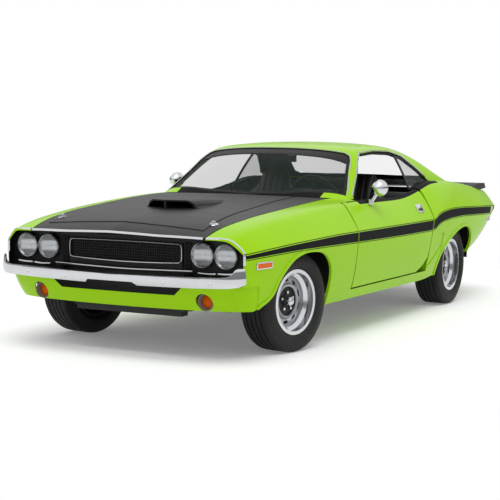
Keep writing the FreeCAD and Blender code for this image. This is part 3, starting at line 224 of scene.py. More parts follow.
class Look:
    def __init__(self, name, **basics):
        self.material = bpy.data.materials.new(name)
        self.material.use_nodes = True
        self.tree = self.material.node_tree
        self.surface = self.tree.nodes["Principled BSDF"]
        for key, value in basics.items():
            self.surface.inputs[key.replace("_", " ")].default_value = value
        place = self.tree.nodes.new("ShaderNodeTexCoord")
        self.place = Wire(self, place.outputs["Object"])
        self.normal = Wire(self, place.outputs["Normal"])
        self.x, self.y, self.z = self.split(self.place)

    def make(self, kind, settings, values, output=0):
        node = self.tree.nodes.new(kind)
        for key, value in settings.items():
            setattr(node, key, value)
        for key, value in values.items():
            if isinstance(value, Wire):
                self.tree.links.new(value.socket, node.inputs[key])
            else:
                node.inputs[key].default_value = value
        return Wire(self, node.outputs[output])

    def split(self, vector):
        node = self.tree.nodes.new("ShaderNodeSeparateXYZ")
        self.tree.links.new(vector.socket, node.inputs[0])
        return [Wire(self, output) for output in node.outputs]

    def noise(self, scale, detail=2.0, place=None):
        values = {"Vector": place or self.place, "Scale": scale, "Detail": detail}
        return self.make("ShaderNodeTexNoise", {}, values)

    def blend(self, mask, first, second):
        return self.make("ShaderNodeMix", {"data_type": "RGBA"}, {0: mask, 6: first, 7: second}, 2)

    def course(self, value, points):  # a value that follows given points
        low, high = points[0][0], points[-1][0]
        least = min(p[1] for p in points)
        most = max(p[1] for p in points)
        node = self.tree.nodes.new("ShaderNodeFloatCurve")
        knots = node.mapping.curves[0].points
        for _ in points[2:]:
            knots.new(0.5, 0.5)
        for knot, (a, b) in zip(knots, points):
            knot.location = ((a - low) / (high - low), (b - least) / (most - least))
            knot.handle_type = "AUTO_CLAMPED"
        node.mapping.update()
        share = (value - low) / (high - low)
        self.tree.links.new(share.socket, node.inputs["Value"])
        return Wire(self, node.outputs[0]) * (most - least) + least

    def feed(self, name, wire):
        self.tree.links.new(wire.socket, self.surface.inputs[name])

    def rough(self, scale, spread, base):
        self.feed("Roughness", self.noise(scale) * spread + base)

    def bump(self, height, strength, distance):
        values = {"Strength": strength, "Distance": distance, "Height": height}
        self.feed("Normal", self.make("ShaderNodeBump", {}, values))


def rgb(red, green, blue):  # screen colour, 0 to 255, to linear
    tones = (red, green, blue)
    return tuple(((c / 255 + 0.055) / 1.055) ** 2.4 if c > 10 else c / 3294 for c in tones) + (1.0,)


def shaded(tone, share):
    return tuple(c * share for c in tone[:3]) + (1.0,)


def grey(value):
    return (value, value, value, 1.0)


# Body paint: gloss green outside, with the black side stripe, and dull black on the inner faces
paint = {
    "green": rgb(164, 220, 16), "deepGreen": rgb(156, 212, 12), "black": rgb(24, 24, 26),
    "inner": rgb(20, 20, 21),
    "top": [(-0.80, 0.657), (-0.40, 0.688), (0.0, 0.704), (0.60, 0.714), (2.08, 0.714), (2.26, 0.748),
            (2.43, 0.772), (2.65, 0.780), (3.10, 0.768), (3.92, 0.737)],
    "depth": [(-0.80, 0.020), (0.0, 0.044), (0.7, 0.063), (2.0, 0.072), (2.4, 0.070), (3.0, 0.060),
              (3.92, 0.055)],
    "lineGap": 0.004, "lineWidth": 0.005, "clear": (3.655, 3.760), "sideFrom": 0.80, "middle": 0.5,
    "cowl": {"back": 1.0, "half": 0.575, "top": 0.96},
    "sill": {"half": 0.834, "from": 1.0, "to": 2.56, "foot": 0.45},
}


def paintLook(name, stripe, cabin=False, openings=False):
    look = Look(name, Specular_IOR_Level=0.05, Coat_Roughness=0.03, Coat_IOR=1.4)
    nx, ny, nz = look.split(look.normal)
    side = look.x.calc("SIGN")
    back = look.y - frontAxle
    out = look.x.size()
    outward = nx * side * out + nz * (look.z - paint["middle"])
    inside = 1 - outward.over(-0.16, 0.04)
    if openings:  # window reveals, and the cowl under the windscreen
        edge = paint["cowl"]
        reveal = (1 - (nx * side).over(0.3, 0.05)) * (1 - nz.over(0.3, 0.05))
        cowl = (1 - back.over(edge["back"])) * (1 - out.over(edge["half"])) * (1 - look.z.over(edge["top"]))
        inside = (inside + reveal + cowl).capped()
    if cabin:
        edge = paint["sill"]
        sill = (1 - out.over(edge["half"], 0.002)) * back.over(edge["from"], 0.01)
        sill = sill * (1 - back.over(edge["to"], 0.01))
        inside = (inside + sill * look.z.over(edge["foot"], 0.01)).capped()
    cloud = look.noise(2.2, 3.0)
    colour = look.blend(cloud, paint["green"], paint["deepGreen"])
    if stripe:
        top = look.course(back, paint["top"])
        depth = look.course(back, paint["depth"])
        down = top - look.z
        band = down.over(0.0) * (depth - down).over(0.0)
        gap, width = paint["lineGap"], paint["lineWidth"]
        upper = (down + gap + width).over(0.0) * (0 - down - gap).over(0.0)
        below = down - depth
        lower = below.over(gap) * (gap + width - below).over(0.0)
        onSide = (nx * side).over(0.25, 0.05) * out.over(paint["sideFrom"])
        bare = back.over(paint["clear"][0]) * (paint["clear"][1] - back).over(0.0)
        mask = (band * (1 - bare) + upper + lower) * onSide
        colour = look.blend(mask, colour, paint["black"])
    matt = (mask + inside).capped() if stripe else inside
    colour = look.blend(inside, colour, paint["inner"])
    look.feed("Base Color", colour)
    look.feed("Coat Weight", 0.14 - matt * 0.12)
    look.feed("Roughness", look.noise(6.0) * 0.06 + 0.22 + matt * 0.35)
    look.bump(look.noise(420.0), 0.03, 0.001)
    return look.material


# Satin black for hood, scoop, deck and spoiler
def satinLook(name, tone=rgb(20, 20, 22)):
    look = Look(name, Specular_IOR_Level=0.35)
    dust = look.noise(5.0, 4.0)
    look.feed("Base Color", look.blend(dust, tone, shaded(tone, 1.35)))
    look.rough(9.0, 0.08, 0.42)
    look.bump(look.noise(700.0), 0.06, 0.0006)
    return look.material


def metalLook(name, tone, roughness, spread=0.05, grain=0.0):
    look = Look(name, Metallic=1.0)
    look.feed("Base Color", look.blend(look.noise(14.0), tone, shaded(tone, 0.88)))
    look.rough(25.0, spread, roughness)
    if grain:
        look.bump(look.noise(380.0), grain, 0.0008)
    return look.material


def castLook(name, tone, roughness=0.6, scale=160.0, grain=0.35):
    look = Look(name)
    grime = look.noise(7.0, 5.0)
    look.feed("Base Color", look.blend(grime, tone, shaded(tone, 0.55)))
    look.rough(20.0, 0.2, roughness)
    look.bump(look.noise(scale), grain, 0.0015)
    return look.material


def vinylLook(name, tone=rgb(26, 26, 28)):
    look = Look(name, Specular_IOR_Level=0.5)
    grain = look.make("ShaderNodeTexVoronoi", {}, {"Vector": look.place, "Scale": 900.0})
    look.feed("Base Color", look.blend(look.noise(30.0), tone, shaded(tone, 1.5)))
    look.rough(18.0, 0.12, 0.42)
    look.bump(grain, 0.25, 0.0006)
    return look.material


def clearLook(name, tone, alpha, roughness=0.02, shine=0.5):
    look = Look(name, Base_Color=tone, Specular_IOR_Level=shine, IOR=1.5)
    look.rough(8.0, 0.02, roughness)
    film = look.noise(4.0, 3.0)
    look.feed("Alpha", film * 0.03 + alpha)
    look.material.surface_render_method = "BLENDED"
    return look.material


# Window glass, with a black band where each pane meets its frame, and a wider dark band at the windscreen's
# head that is painted shade, standing for the dark headliner behind the glass
glassBand = {"screenSide": [(1.022, 0.716), (1.080, 0.699), (1.150, 0.672), (1.250, 0.634), (1.340, 0.606),
                            (1.420, 0.578)],
             "screenHead": [(0.0, 1.372), (0.280, 1.384), (0.532, 1.404), (0.720, 1.410)],
             "screenFoot": [(0.0, 0.872), (0.300, 0.897), (0.560, 0.960), (0.720, 1.022)],
             "rearSide": [(2.560, 0.530), (2.900, 0.608), (2.980, 0.620)],
             "width": 0.024, "head": 0.095, "foot": 0.030, "bar": (2.133, 1.089, 0.17, 0.032),
             "rear": (2.600, 2.955), "rearFrom": 2.5, "rearHalf": 0.63, "screenTo": 1.8, "tint": 0.14}


def windowLook(name, tone, alpha):
    look = Look(name, Specular_IOR_Level=0.2, IOR=1.5)
    back = look.y - frontAxle
    out = look.x.size()
    width = glassBand["width"]
    screenSide = out - look.course(back, glassBand["screenSide"])
    head = back - look.course(out, glassBand["screenHead"])
    foot = look.course(out, glassBand["screenFoot"]) - back
    # the head band, wider than the seal bands, is painted shade for the headliner behind the glass
    screen = screenSide.over(-width) + head.over(-glassBand["head"]) + foot.over(-glassBand["foot"])
    rearSide = (out - look.course(back, glassBand["rearSide"])).over(-width)
    top, bottom = glassBand["rear"]
    rear = rearSide + (1 - back.over(top)) + back.over(bottom)
    barPlace, barHeight, lean, barWidth = glassBand["bar"]
    bar = 1 - (back - (look.z - barHeight) * lean).over(barPlace + barWidth)
    isRear = back.over(glassBand["rearFrom"]) * (1 - out.over(glassBand["rearHalf"]))
    isScreen = 1 - back.over(glassBand["screenTo"])
    isSide = (1 - isScreen) * (1 - isRear)
    band = (screen * isScreen + rear * isRear + bar * isSide).capped()
    look.feed("Base Color", look.blend(band, tone, rgb(14, 14, 15)))
    look.feed("Roughness", look.noise(8.0) * 0.02 + 0.02 + band * 0.4)
    film = look.noise(4.0, 3.0) * 0.03 + alpha
    tint = glassBand["tint"]
    look.feed("Alpha", (film + band + isScreen * tint + isSide * tint).capped())
    look.material.surface_render_method = "BLENDED"
    return look.material


# Lamp glass with upright flutes
def flutedLook(name):
    look = Look(name, Base_Color=rgb(235, 240, 244), Specular_IOR_Level=0.5, IOR=1.5)
    look.rough(40.0, 0.03, 0.03)
    flutes = (look.x * 1100.0).calc("SINE")
    look.feed("Alpha", flutes * 0.02 + 0.10)
    look.bump(flutes, 0.12, 0.0006)
    look.material.surface_render_method = "BLENDED"
    return look.material


# A lamp's bowl carries a painted reflection: its colour is bright across its middle and dark above and below,
# as if it mirrored the studio, and it has a painted glow
def bowlLook(name):
    look = Look(name, Metallic=0.1, Specular_IOR_Level=0.5, Emission_Strength=0.22)
    level = look.z - 0.650
    # painted shade above and below the bright middle, and a thin darker painted line along it
    shade = level.size().over(0.030, 0.009)
    line = 1 - level.size().over(0.0015, 0.001)
    tone = look.blend(look.noise(45.0, 3.0), rgb(236, 238, 240), rgb(196, 199, 203))
    tone = look.blend(shade, tone, rgb(92, 93, 95))
    tone = look.blend(line * 0.5, tone, rgb(120, 121, 123))
    look.feed("Base Color", tone)
    # painted glow: the bowl gives out its painted reflection as light
    look.feed("Emission Color", tone)
    look.rough(60.0, 0.1, 0.3)
    return look.material


# Wheels: radius and height along the axle, for the tyre's and the rim's bands
def aboutAxle(look, centre, axis):
    offset = look.make("ShaderNodeVectorMath", {"operation": "SUBTRACT"}, {0: look.place, 1: centre})
    along = look.make("ShaderNodeVectorMath", {"operation": "DOT_PRODUCT"}, {0: offset, 1: axis}, "Value")
    length = look.make("ShaderNodeVectorMath", {"operation": "LENGTH"}, {0: offset}, "Value")
    radius = (length * length - along * along).size() ** 0.5
    ahead = look.make("ShaderNodeVectorMath", {"operation": "DOT_PRODUCT"},
                      {0: offset, 1: Vector((0, 0, 1)).cross(Vector(axis))}, "Value")
    turn = look.make("ShaderNodeMath", {"operation": "ARCTAN2"}, {0: look.z - centre[2], 1: ahead})
    return along, radius, turn


# The hub colour is the hub's own dark paint, and it is also used as painted shade on the rim's deeper parts
rimPaint = {"silver": rgb(176, 178, 182), "hub": rgb(26, 26, 28), "bright": rgb(206, 207, 210),
            "hubEdge": 0.0915, "ringEdge": 0.158, "capEdge": 0.0315, "capHeight": 0.028, "nutCircle": 0.057}


def rimLook(name, centre, axis):
    look = Look(name)
    along, radius, turn = aboutAxle(look, centre, axis)
    hub = 1 - radius.over(rimPaint["hubEdge"], 0.001)
    ring = radius.over(rimPaint["ringEdge"], 0.001)
    cap = (1 - radius.over(rimPaint["capEdge"], 0.001)) * along.over(rimPaint["capHeight"], 0.001)
    nuts = along.over(0.0175) * (1 - (radius - rimPaint["nutCircle"]).size().over(0.011)) * (1 - cap)
    shine = ring + cap + nuts * hub
    # painted shade: parts deeper than the disc's face, such as the slots' reveals and the back of the rim,
    # take the dark hub colour
    deepShade = 1 - along.over(-0.06, 0.002)
    colour = look.blend(hub, rimPaint["silver"], rimPaint["hub"])
    colour = look.blend(shine, colour, rimPaint["bright"])
    look.feed("Base Color", look.blend(deepShade, colour, rimPaint["hub"]))
    look.feed("Metallic", shine * 1.0 + (1 - hub) * (1 - shine) * 0.75)
    look.feed("Roughness", 0.36 - shine * 0.22 + hub * (1 - shine) * 0.15 + look.noise(60.0) * 0.05)
    look.bump(look.noise(300.0), 0.05, 0.0006)
    return look.material


def tyreLook(name, centre, axis):
    look = Look(name, Specular_IOR_Level=0.35)
    along, radius, turn = aboutAxle(look, centre, axis)
    crown = radius.over(0.304, 0.002)
    sipes = (turn * 72.0 + along * 90.0).calc("SINE").over(0.86, 0.05)
    ribs = (radius * 900.0).calc("SINE") * (1 - radius.over(0.222, 0.002))
    look.feed("Base Color", look.blend(look.noise(35.0, 4.0), rgb(23, 23, 24), rgb(34, 34, 35)))
    look.rough(40.0, 0.15, 0.58)
    look.bump(look.noise(500.0) * 0.15 - sipes * crown + ribs * 0.05, 0.6, 0.0025)
    return look.material


gloss = paintLook("limePaint", True)
doorGloss = paintLook("limePaintCabin", True, True)
plainGloss = paintLook("limePaintPlain", False)
roofGloss = paintLook("limePaintRoof", False, openings=True)
satin = satinLook("satinBlack")
under = castLook("chassisBlack", rgb(30, 30, 31), 0.5, 90.0)
chrome = metalLook("chrome", rgb(214, 216, 219), 0.06, 0.06)
brightTrim = metalLook("brightTrim", rgb(196, 197, 200), 0.16, 0.08)
castIron = castLook("castMetal", rgb(96, 94, 92))
steel = metalLook("pipeSteel", rgb(150, 148, 144), 0.35, 0.2, 0.2)
tankSteel = metalLook("tankSteel", rgb(120, 121, 122), 0.45, 0.2, 0.15)
vinyl = vinylLook("seatVinyl")
trimBlack = castLook("interiorBlack", rgb(24, 24, 26), 0.5, 500.0)
rubber = castLook("rubberBlack", rgb(20, 20, 21), 0.62, 300.0, 0.06)
screenGlass = windowLook("screenGlass", rgb(48, 62, 54), 0.05)
amberLens = clearLook("amberLens", rgb(238, 104, 4), 0.94, 0.25, 0.15)
redLens = clearLook("redLens", rgb(170, 12, 14), 0.92, 0.1, 0.3)
flutedGlass = flutedLook("flutedGlass")
lampGlass = clearLook("lampGlass", rgb(230, 235, 238), 0.18, 0.03)
reflector = bowlLook("lampReflector")
ringMetal = metalLook("lampRing", rgb(204, 205, 208), 0.24, 0.05)
greyMetal = castLook("greyBezel", rgb(150, 141, 130), 0.45, 200.0)
print("looks made")

nodeLooks = {
    "hood": satin, "hood_scoop": satin, "deck_lid": satin, "spoiler_ends": satin, "front_structure": under,
    "floor_pan": under, "tail_panel": satin, "grille": satin, "front_bumper": chrome, "rear_bumper": chrome,
    "headlamps": lampGlass, "amber_lamps": amberLens, "red_lamps": redLens, "fixed_glass": screenGlass,
    "dashboard": trimBlack, "front_seats": vinyl, "rear_seat": vinyl, "steering_wheel": trimBlack,
    "interior_mirror": trimBlack, "engine": castIron, "driveline": castIron, "rear_axle": castIron,
    "front_suspension": castIron, "exhaust": steel, "fuel_tank": tankSteel, "mirror_left": chrome,
    "mirror_right": chrome, "knuckle_left": castIron, "knuckle_right": castIron, "front_valance": plainGloss,
    "roof": roofGloss,
}
for panel, look in (("fender", gloss), ("door", doorGloss), ("quarter", doorGloss)):
    for side in ("left", "right"):
        nodeLooks[f"{panel}_{side}"] = look


def wheelFrame(wheel):
    joint = joints[f"{wheel}_spin"]
    axis = Vector(joint["axis"]).normalized()
    if axis.x * joint["pos_m"][0] < 0:
        axis = -axis
    return Vector(joint["pos_m"]), axis


for wheel in wheels:
    centre, axis = wheelFrame(wheel)
    nodeLooks[f"rim_{wheel}"] = rimLook(f"rim_{wheel}", centre, axis)
    nodeLooks[f"tyre_{wheel}"] = tyreLook(f"tyre_{wheel}", centre, axis)
for name, look in nodeLooks.items():
    nodes[name].data.materials.clear()
    nodes[name].data.materials.append(look)
print("nodes dressed")


# Tyres with four grooves, in place of the plain casings
tyre = {"steps": 96, "grooves": (0.018, 0.054), "grooveHalf": 0.0035, "grooveDepth": 0.007, "radius": 0.318,
        "crownFall": 0.004, "groove": ((-1.25, 0), (-1, 1), (1, 1), (1.25, 0)),
        "wall": [(0.074, 0.3172), (0.085, 0.3165), (0.094, 0.3125), (0.0985, 0.3085), (0.103, 0.300),
                 (0.1065, 0.292), (0.1065, 0.290), (0.1105, 0.281), (0.113, 0.2725), (0.1155, 0.2600),
                 (0.116, 0.2505), (0.1145, 0.2400), (0.1125, 0.2335), (0.1125, 0.2320), (0.1075, 0.2235),
                 (0.101, 0.2155), (0.0945, 0.2105), (0.0888, 0.2083), (0.0888, 0.1912)]}


def tyreProfile():
    half = []
    for place in tyre["grooves"]:
        for offset, drop in tyre["groove"]:
            radius = tyre["radius"] - drop * tyre["grooveDepth"] - place * tyre["crownFall"]
            half.append((place + offset * tyre["grooveHalf"], radius))
    half += tyre["wall"]
    return half + [(-a, r) for a, r in reversed(half)]


for wheel in wheels:
    centre, axis = wheelFrame(wheel)
    casing = turnedAt(tyreProfile(), tyre["steps"], centre, axis, True)
    rubberLook = nodes[f"tyre_{wheel}"].data.materials[0]
    finished(casing, f"treadTyre_{wheel}", f"{wheel}_wheel", rubberLook, 30)
    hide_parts(f"tyre_{wheel}")
print("tyres made")

# A filled outline drawn through the car, from a 2D curve with depth and rounded edges
sideways = Matrix(((0, 0, 1, 0), (1, 0, 0, 0), (0, 1, 0, 0), (0, 0, 0, 1)))  # outline in Y and Z
frontways = Matrix(((1, 0, 0, 0), (0, 0, -1, 0), (0, 1, 0, 0), (0, 0, 0, 1)))  # outline in X and Z


def prism(outline, half, turn, centre, rounding=0.0):
    deselect()
    bpy.ops.curve.primitive_bezier_circle_add()
    path = bpy.context.object
    path.data.splines.clear()
    spline = path.data.splines.new("POLY")
    spline.points.add(len(outline) - 1)
    for knot, (a, b) in zip(spline.points, outline):
        knot.co = (a, b, 0, 1)
    spline.use_cyclic_u = True
    path.data.dimensions = "2D"
    path.data.fill_mode = "BOTH"
    path.data.extrude = half - rounding
    path.data.bevel_depth = rounding
    path.data.bevel_resolution = 3
    path.data.offset = -rounding
    only(path)
    bpy.ops.object.convert(target="MESH")
    piece = bpy.context.object
    piece.matrix_world = Matrix.Translation(centre) @ turn
    return cleaned(applied(piece))


def cleaned(piece):
    only(piece)
    bpy.ops.object.mode_set(mode="EDIT")
    bpy.ops.mesh.select_all(action="SELECT")
    bpy.ops.mesh.remove_doubles(threshold=0.00005)
    bpy.ops.mesh.normals_make_consistent(inside=False)
    bpy.ops.object.mode_set(mode="OBJECT")
    return piece


def slab(x0, x1, y0, y1, z0, z1, bevel=0.003):
    deselect()
    centre = ((x0 + x1) / 2, aft((y0 + y1) / 2), (z0 + z1) / 2)
    bpy.ops.mesh.primitive_cube_add(size=1, location=centre)
    piece = bpy.context.object
    piece.scale = (x1 - x0, y1 - y0, z1 - z0)
    return modified(applied(piece), "BEVEL", width=bevel, segments=2)


# Headlamps: two chrome rings, a bowl with its bulb, and a fluted lens
lamp = {"places": (-0.717, -0.556, 0.556, 0.717), "height": 0.650, "steps": 64,
        "outerRing": [(0.000, 0.0768), (0.054, 0.0768), (0.0585, 0.0755), (0.0600, 0.0735), (0.0585, 0.0712),
                      (0.050, 0.0700), (0.000, 0.0700)],
        "innerRing": [(0.020, 0.0688), (0.052, 0.0688), (0.0565, 0.0678), (0.0580, 0.0658), (0.0560, 0.0636),
                      (0.048, 0.0626), (0.020, 0.0626)],
        "bowl": [(0.001, 0.0624), (0.046, 0.0624), (0.040, 0.0590), (0.028, 0.0490), (0.018, 0.0370),
                 (0.010, 0.0240), (0.006, 0.0100)],
        "bulb": [(0.006, 0.0100), (0.026, 0.0098), (0.030, 0.0085), (0.033, 0.0050)],
        "lens": [(0.0462, 0.0625), (0.0470, 0.0625), (0.0492, 0.0605), (0.0530, 0.0500), (0.0560, 0.0360),
                 (0.0578, 0.0180), (0.0582, 0.0050)],
        "seat": [(0.000, 0.0699), (0.046, 0.0699), (0.046, 0.0689), (0.000, 0.0689)],
        "back": -0.645}
lampRings, lampBowls, lampLenses, lampSeats = [], [], [], []
for x in lamp["places"]:
    centre = (x, aft(lamp["back"]), lamp["height"])
    for ring in ("outerRing", "innerRing"):
        lampRings.append(turnedAt(lamp[ring], lamp["steps"], centre, forward, True))
    lampBowls.append(turnedAt(lamp["bowl"], lamp["steps"], centre, forward))
    lampBowls.append(turnedAt(lamp["bulb"], 24, centre, forward))
    lampLenses.append(turnedAt(lamp["lens"], lamp["steps"], centre, forward))
    lampSeats.append(turnedAt(lamp["seat"], lamp["steps"], centre, forward, True))
rings = finished(joined(lampRings), "headlampRings", "body", ringMetal)
finished(joined(lampBowls), "headlampBowls", "body", reflector)
finished(joined(lampLenses), "headlampLenses", "body", flutedGlass)
finished(joined(lampSeats), "headlampSeats", "body", satin)
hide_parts("headlamps")
print("headlamps made")

# Bright strips round the grille insert, under the lamps and along the nose
grilleTrim = {"front": -0.6825, "half": 0.404, "low": 0.592, "high": 0.705, "corner": 0.022, "radius": 0.0034,
              "bow": 0.010, "rise": 0.004, "stripFront": -0.706, "stripRadius": 0.0042,
              "strip": [(-0.495, 0.552), (-0.25, 0.546), (0.0, 0.542), (0.25, 0.546), (0.495, 0.552)],
              "lampFront": -0.708, "lampRadius": 0.006,
              "lampStrips": [[(0.535, 0.543), (0.60, 0.541), (0.655, 0.545)],
                             [(0.670, 0.546), (0.735, 0.547), (0.780, 0.551)]],
              "panels": [(-0.408, 0.408, -0.6805, -0.6655, 0.532, 0.590, 0.003),
                         (-0.500, 0.500, -0.706, -0.664, 0.536, 0.5435, 0.002),
                         (-0.790, -0.530, -0.706, -0.664, 0.534, 0.5405, 0.002),
                         (0.530, 0.790, -0.706, -0.664, 0.534, 0.5405, 0.002)]}


def roundedLoop(half, low, high, corner, y):
    points = []
    for cx, cz, start in ((half - corner, high - corner, 0), (corner - half, high - corner, 90),
                          (corner - half, low + corner, 180), (half - corner, low + corner, 270)):
        for step in range(5):
            angle = math.radians(start + step * 22.5)
            points.append((cx + corner * math.cos(angle), y, cz + corner * math.sin(angle)))
        if start in (0, 180):
            points.append((0.0, y, high + grilleTrim["rise"] if start == 0 else low - grilleTrim["bow"]))
    return points


loop = roundedLoop(grilleTrim["half"], grilleTrim["low"], grilleTrim["high"], grilleTrim["corner"],
                   aft(grilleTrim["front"]))
frameStrip = strip(loop, grilleTrim["radius"], True)
lowLine = [(x, aft(grilleTrim["stripFront"]), z) for x, z in grilleTrim["strip"]]
strips = [frameStrip, strip(lowLine, grilleTrim["stripRadius"])]
for side in (-1, 1):
    for part in grilleTrim["lampStrips"]:
        line = [(side * x, aft(grilleTrim["lampFront"]), z) for x, z in part]
        strips.append(strip(line, grilleTrim["lampRadius"]))
finished(joined(strips), "grilleTrim", "body", brightTrim)
lowPanels = [slab(*panel) for panel in grilleTrim["panels"]]
finished(joined(lowPanels), "grilleLowPanel", "body", satin)

# Nose trim along the hood's front edge and round each fender's corner
noseTrim = {"radius": 0.0075, "hoodHalf": 0.612, "hoodSteps": 10, "drop": 0.003, "tuck": 0.006,
            "corner": (0.70, 0.650), "cornerReach": 0.5, "behind": -0.700, "fan": (84, 7.2, 15),
            "edge": [(0.0, -0.842), (0.33, -0.826), (0.612, -0.789)],
            "side": [(0.626, -0.785), (0.76, -0.760), (0.846, -0.726)], "tops": (0.630, 0.665, 0.700)}


def edgePlace(points, x):
    for (x0, y0), (x1, y1) in zip(points, points[1:]):
        if x0 <= x <= x1:
            return y0 + (y1 - y0) * (x - x0) / (x1 - x0)
    return points[-1][1]


def noseTop(names, x, y):
    place, _ = touch(names, (x, aft(y + noseTrim["tuck"]), 1.2), downward)
    return None if place is None else Vector((x, aft(y), place.z - noseTrim["drop"]))


hoodLine = []
for i in range(-noseTrim["hoodSteps"], noseTrim["hoodSteps"] + 1):
    x = i / noseTrim["hoodSteps"] * noseTrim["hoodHalf"]
    hoodLine.append(noseTop(["hood"], x, edgePlace(noseTrim["edge"], abs(x))))
hoodStrip = strip([p for p in hoodLine if p], noseTrim["radius"])
finished(hoodStrip, "hoodEdgeTrim", "hood_lid", chrome)
fenderStrips = []
cornerX, cornerZ = noseTrim["corner"]
fanStart, fanStep, fanCount = noseTrim["fan"]
for side in (-1, 1):
    panel = f"fender_{'left' if side > 0 else 'right'}"
    line = [noseTop([panel], side * x, edgePlace(noseTrim["side"], x) + 0.004) for x in noseTrim["tops"]]
    for step in range(fanCount):
        angle = math.radians(fanStart - step * fanStep)
        ray = Vector((side * math.cos(angle), 0, math.sin(angle)))
        start = Vector((side * cornerX, aft(noseTrim["behind"]), cornerZ)) + ray * noseTrim["cornerReach"]
        place, _ = touch([panel], start, -ray)
        if place is None:
            continue
        start.y = aft(edgePlace(noseTrim["side"], abs(place.x)) + noseTrim["tuck"])
        nearer, _ = touch([panel], start, -ray)
        place = nearer or Vector((place.x, start.y, place.z))
        line.append(place - ray * noseTrim["drop"])
    fenderStrips.append(strip([p for p in line if p], noseTrim["radius"]))
finished(joined(fenderStrips), "fenderEdgeTrim", "body", chrome)
print("nose trim made")

# Front bumper: a bowed bar whose top edge dips between its upturned ends
bumper = {"level": 0.520, "half": 0.8775, "samples": 60, "thick": 0.042, "taper": 0.8, "middle": 0.525,
          "tall": 0.080,
          "low": [(0.0, 0.480), (0.158, 0.480), (0.186, 0.459), (0.330, 0.461), (0.563, 0.465),
                  (0.785, 0.474), (0.850, 0.482), (0.872, 0.496), (0.900, 0.510)],
          "high": [(0.900, 0.590), (0.850, 0.591), (0.834, 0.584), (0.820, 0.566), (0.806, 0.550),
                   (0.785, 0.541), (0.740, 0.537), (0.560, 0.532), (0.280, 0.526), (0.0, 0.521)],
          "rows": (0.468, 0.476, 0.486, 0.498, 0.510, 0.522, 0.534, 0.546, 0.560, 0.575),
          "bulge": ((0.065, 0.036), (0.075, 0.024)), "edge": 0.005}


def bumperPlan():
    face = []
    for step in range(bumper["samples"] + 1):
        x = bumper["half"] * math.sin(math.radians(180 * step / bumper["samples"] - 90))
        place, _ = touch(["front_bumper"], (x * 0.9999, aft(-1.2), bumper["level"]), (0, 1, 0))
        if place is not None:
            face.append(Vector((place.x, place.y)))
    back = []
    for k, point in enumerate(face):
        along = (face[min(k + 1, len(face) - 1)] - face[max(k - 1, 0)]).normalized()
        thick = bumper["thick"] * (1 - bumper["taper"] * (point.x / bumper["half"]) ** 4)
        back.append(point + Vector((-along.y, along.x)) * thick)
    return [tuple(p) for p in face + back[::-1]]


def bowed(piece):  # the face leans back above and below its middle line
    points = corners(piece)
    drop = bumper["level"] - points[:, 2]
    (below, lowLean), (above, highLean) = bumper["bulge"]
    lean = np.where(drop > 0, (drop / below) ** 2 * lowLean, (drop / above) ** 2 * highLean)
    end = (np.abs(points[:, 0]) / bumper["half"]) ** 8
    points[:, 1] += lean * (1 - end)
    points[:, 0] -= np.sign(points[:, 0]) * lean * 0.5 * end
    return moved(piece, points)


bar = prism(bumperPlan(), bumper["tall"], Matrix.Identity(4), (0, 0, bumper["middle"]))
blade = bumper["low"] + bumper["high"]
front = prism(blade + [(-x, z) for x, z in blade[-2:0:-1]], 0.2, frontways, (0, aft(-0.80), 0))
modified(bar, "BOOLEAN", operation="INTERSECT", object=front)
bpy.data.objects.remove(front)
only(bar)
bpy.ops.object.mode_set(mode="EDIT")
for height in bumper["rows"]:
    bpy.ops.mesh.select_all(action="SELECT")
    bpy.ops.mesh.bisect(plane_co=(0, 0, height), plane_no=(0, 0, 1))
bpy.ops.object.mode_set(mode="OBJECT")
bowed(cleaned(bar))
modified(bar, "BEVEL", width=bumper["edge"], segments=3, limit_method="ANGLE",
         angle_limit=math.radians(50))
bar = finished(bar, "frontBumperBar", "body", chrome, 35)
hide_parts("front_bumper")
print("bumper made")

# Bumper bolt heads and hood pins
bolt = {"places": [(-0.616, 0.497), (-0.332, 0.485), (0.370, 0.485), (0.684, 0.495)],
        "profile": [(-0.004, 0.0095), (0.002, 0.0095), (0.0055, 0.007), (0.007, 0.003)]}
heads = []
for x, z in bolt["places"]:
    hit, place, normal, _ = bar.ray_cast(Vector((x, aft(-1.2), z)), Vector((0, 1, 0)))
    if hit:
        heads.append(turnedAt(bolt["profile"], 20, place, normal))
finished(joined(heads), "bumperBolts", "body", chrome)

hoodPin = {"x": 0.547, "y": -0.554,
           "plate": [(-0.002, 0.033), (0.0015, 0.033), (0.003, 0.0315), (0.0035, 0.022), (0.0055, 0.016),
                     (0.0055, 0.006)],
           "post": [(0.003, 0.0062), (0.020, 0.0062), (0.024, 0.0045), (0.025, 0.001)],
           "loop": 0.013, "stretch": 1.9, "lift": 0.014, "slope": 0.004, "offset": (0.004, -0.008),
           "wire": 0.0028}
pins = []
for side in (-1, 1):
    place, normal = touch(["hood"], (side * hoodPin["x"], aft(hoodPin["y"]), 1.3), downward)
    pins.append(turnedAt(hoodPin["plate"], 32, place, normal))
    pins.append(turnedAt(hoodPin["post"], 16, place, normal))
    ring = []
    for step in range(12):
        angle = math.radians(step * 30)
        x = side * hoodPin["offset"][0] + hoodPin["loop"] * math.cos(angle)
        y = hoodPin["loop"] * hoodPin["stretch"] * math.sin(angle) + hoodPin["offset"][1]
        ring.append(place + normal * hoodPin["lift"] + Vector((x, y, hoodPin["slope"] * math.cos(angle))))
    pins.append(strip(ring, hoodPin["wire"], True))
finished(joined(pins), "hoodPins", "hood_lid", chrome)

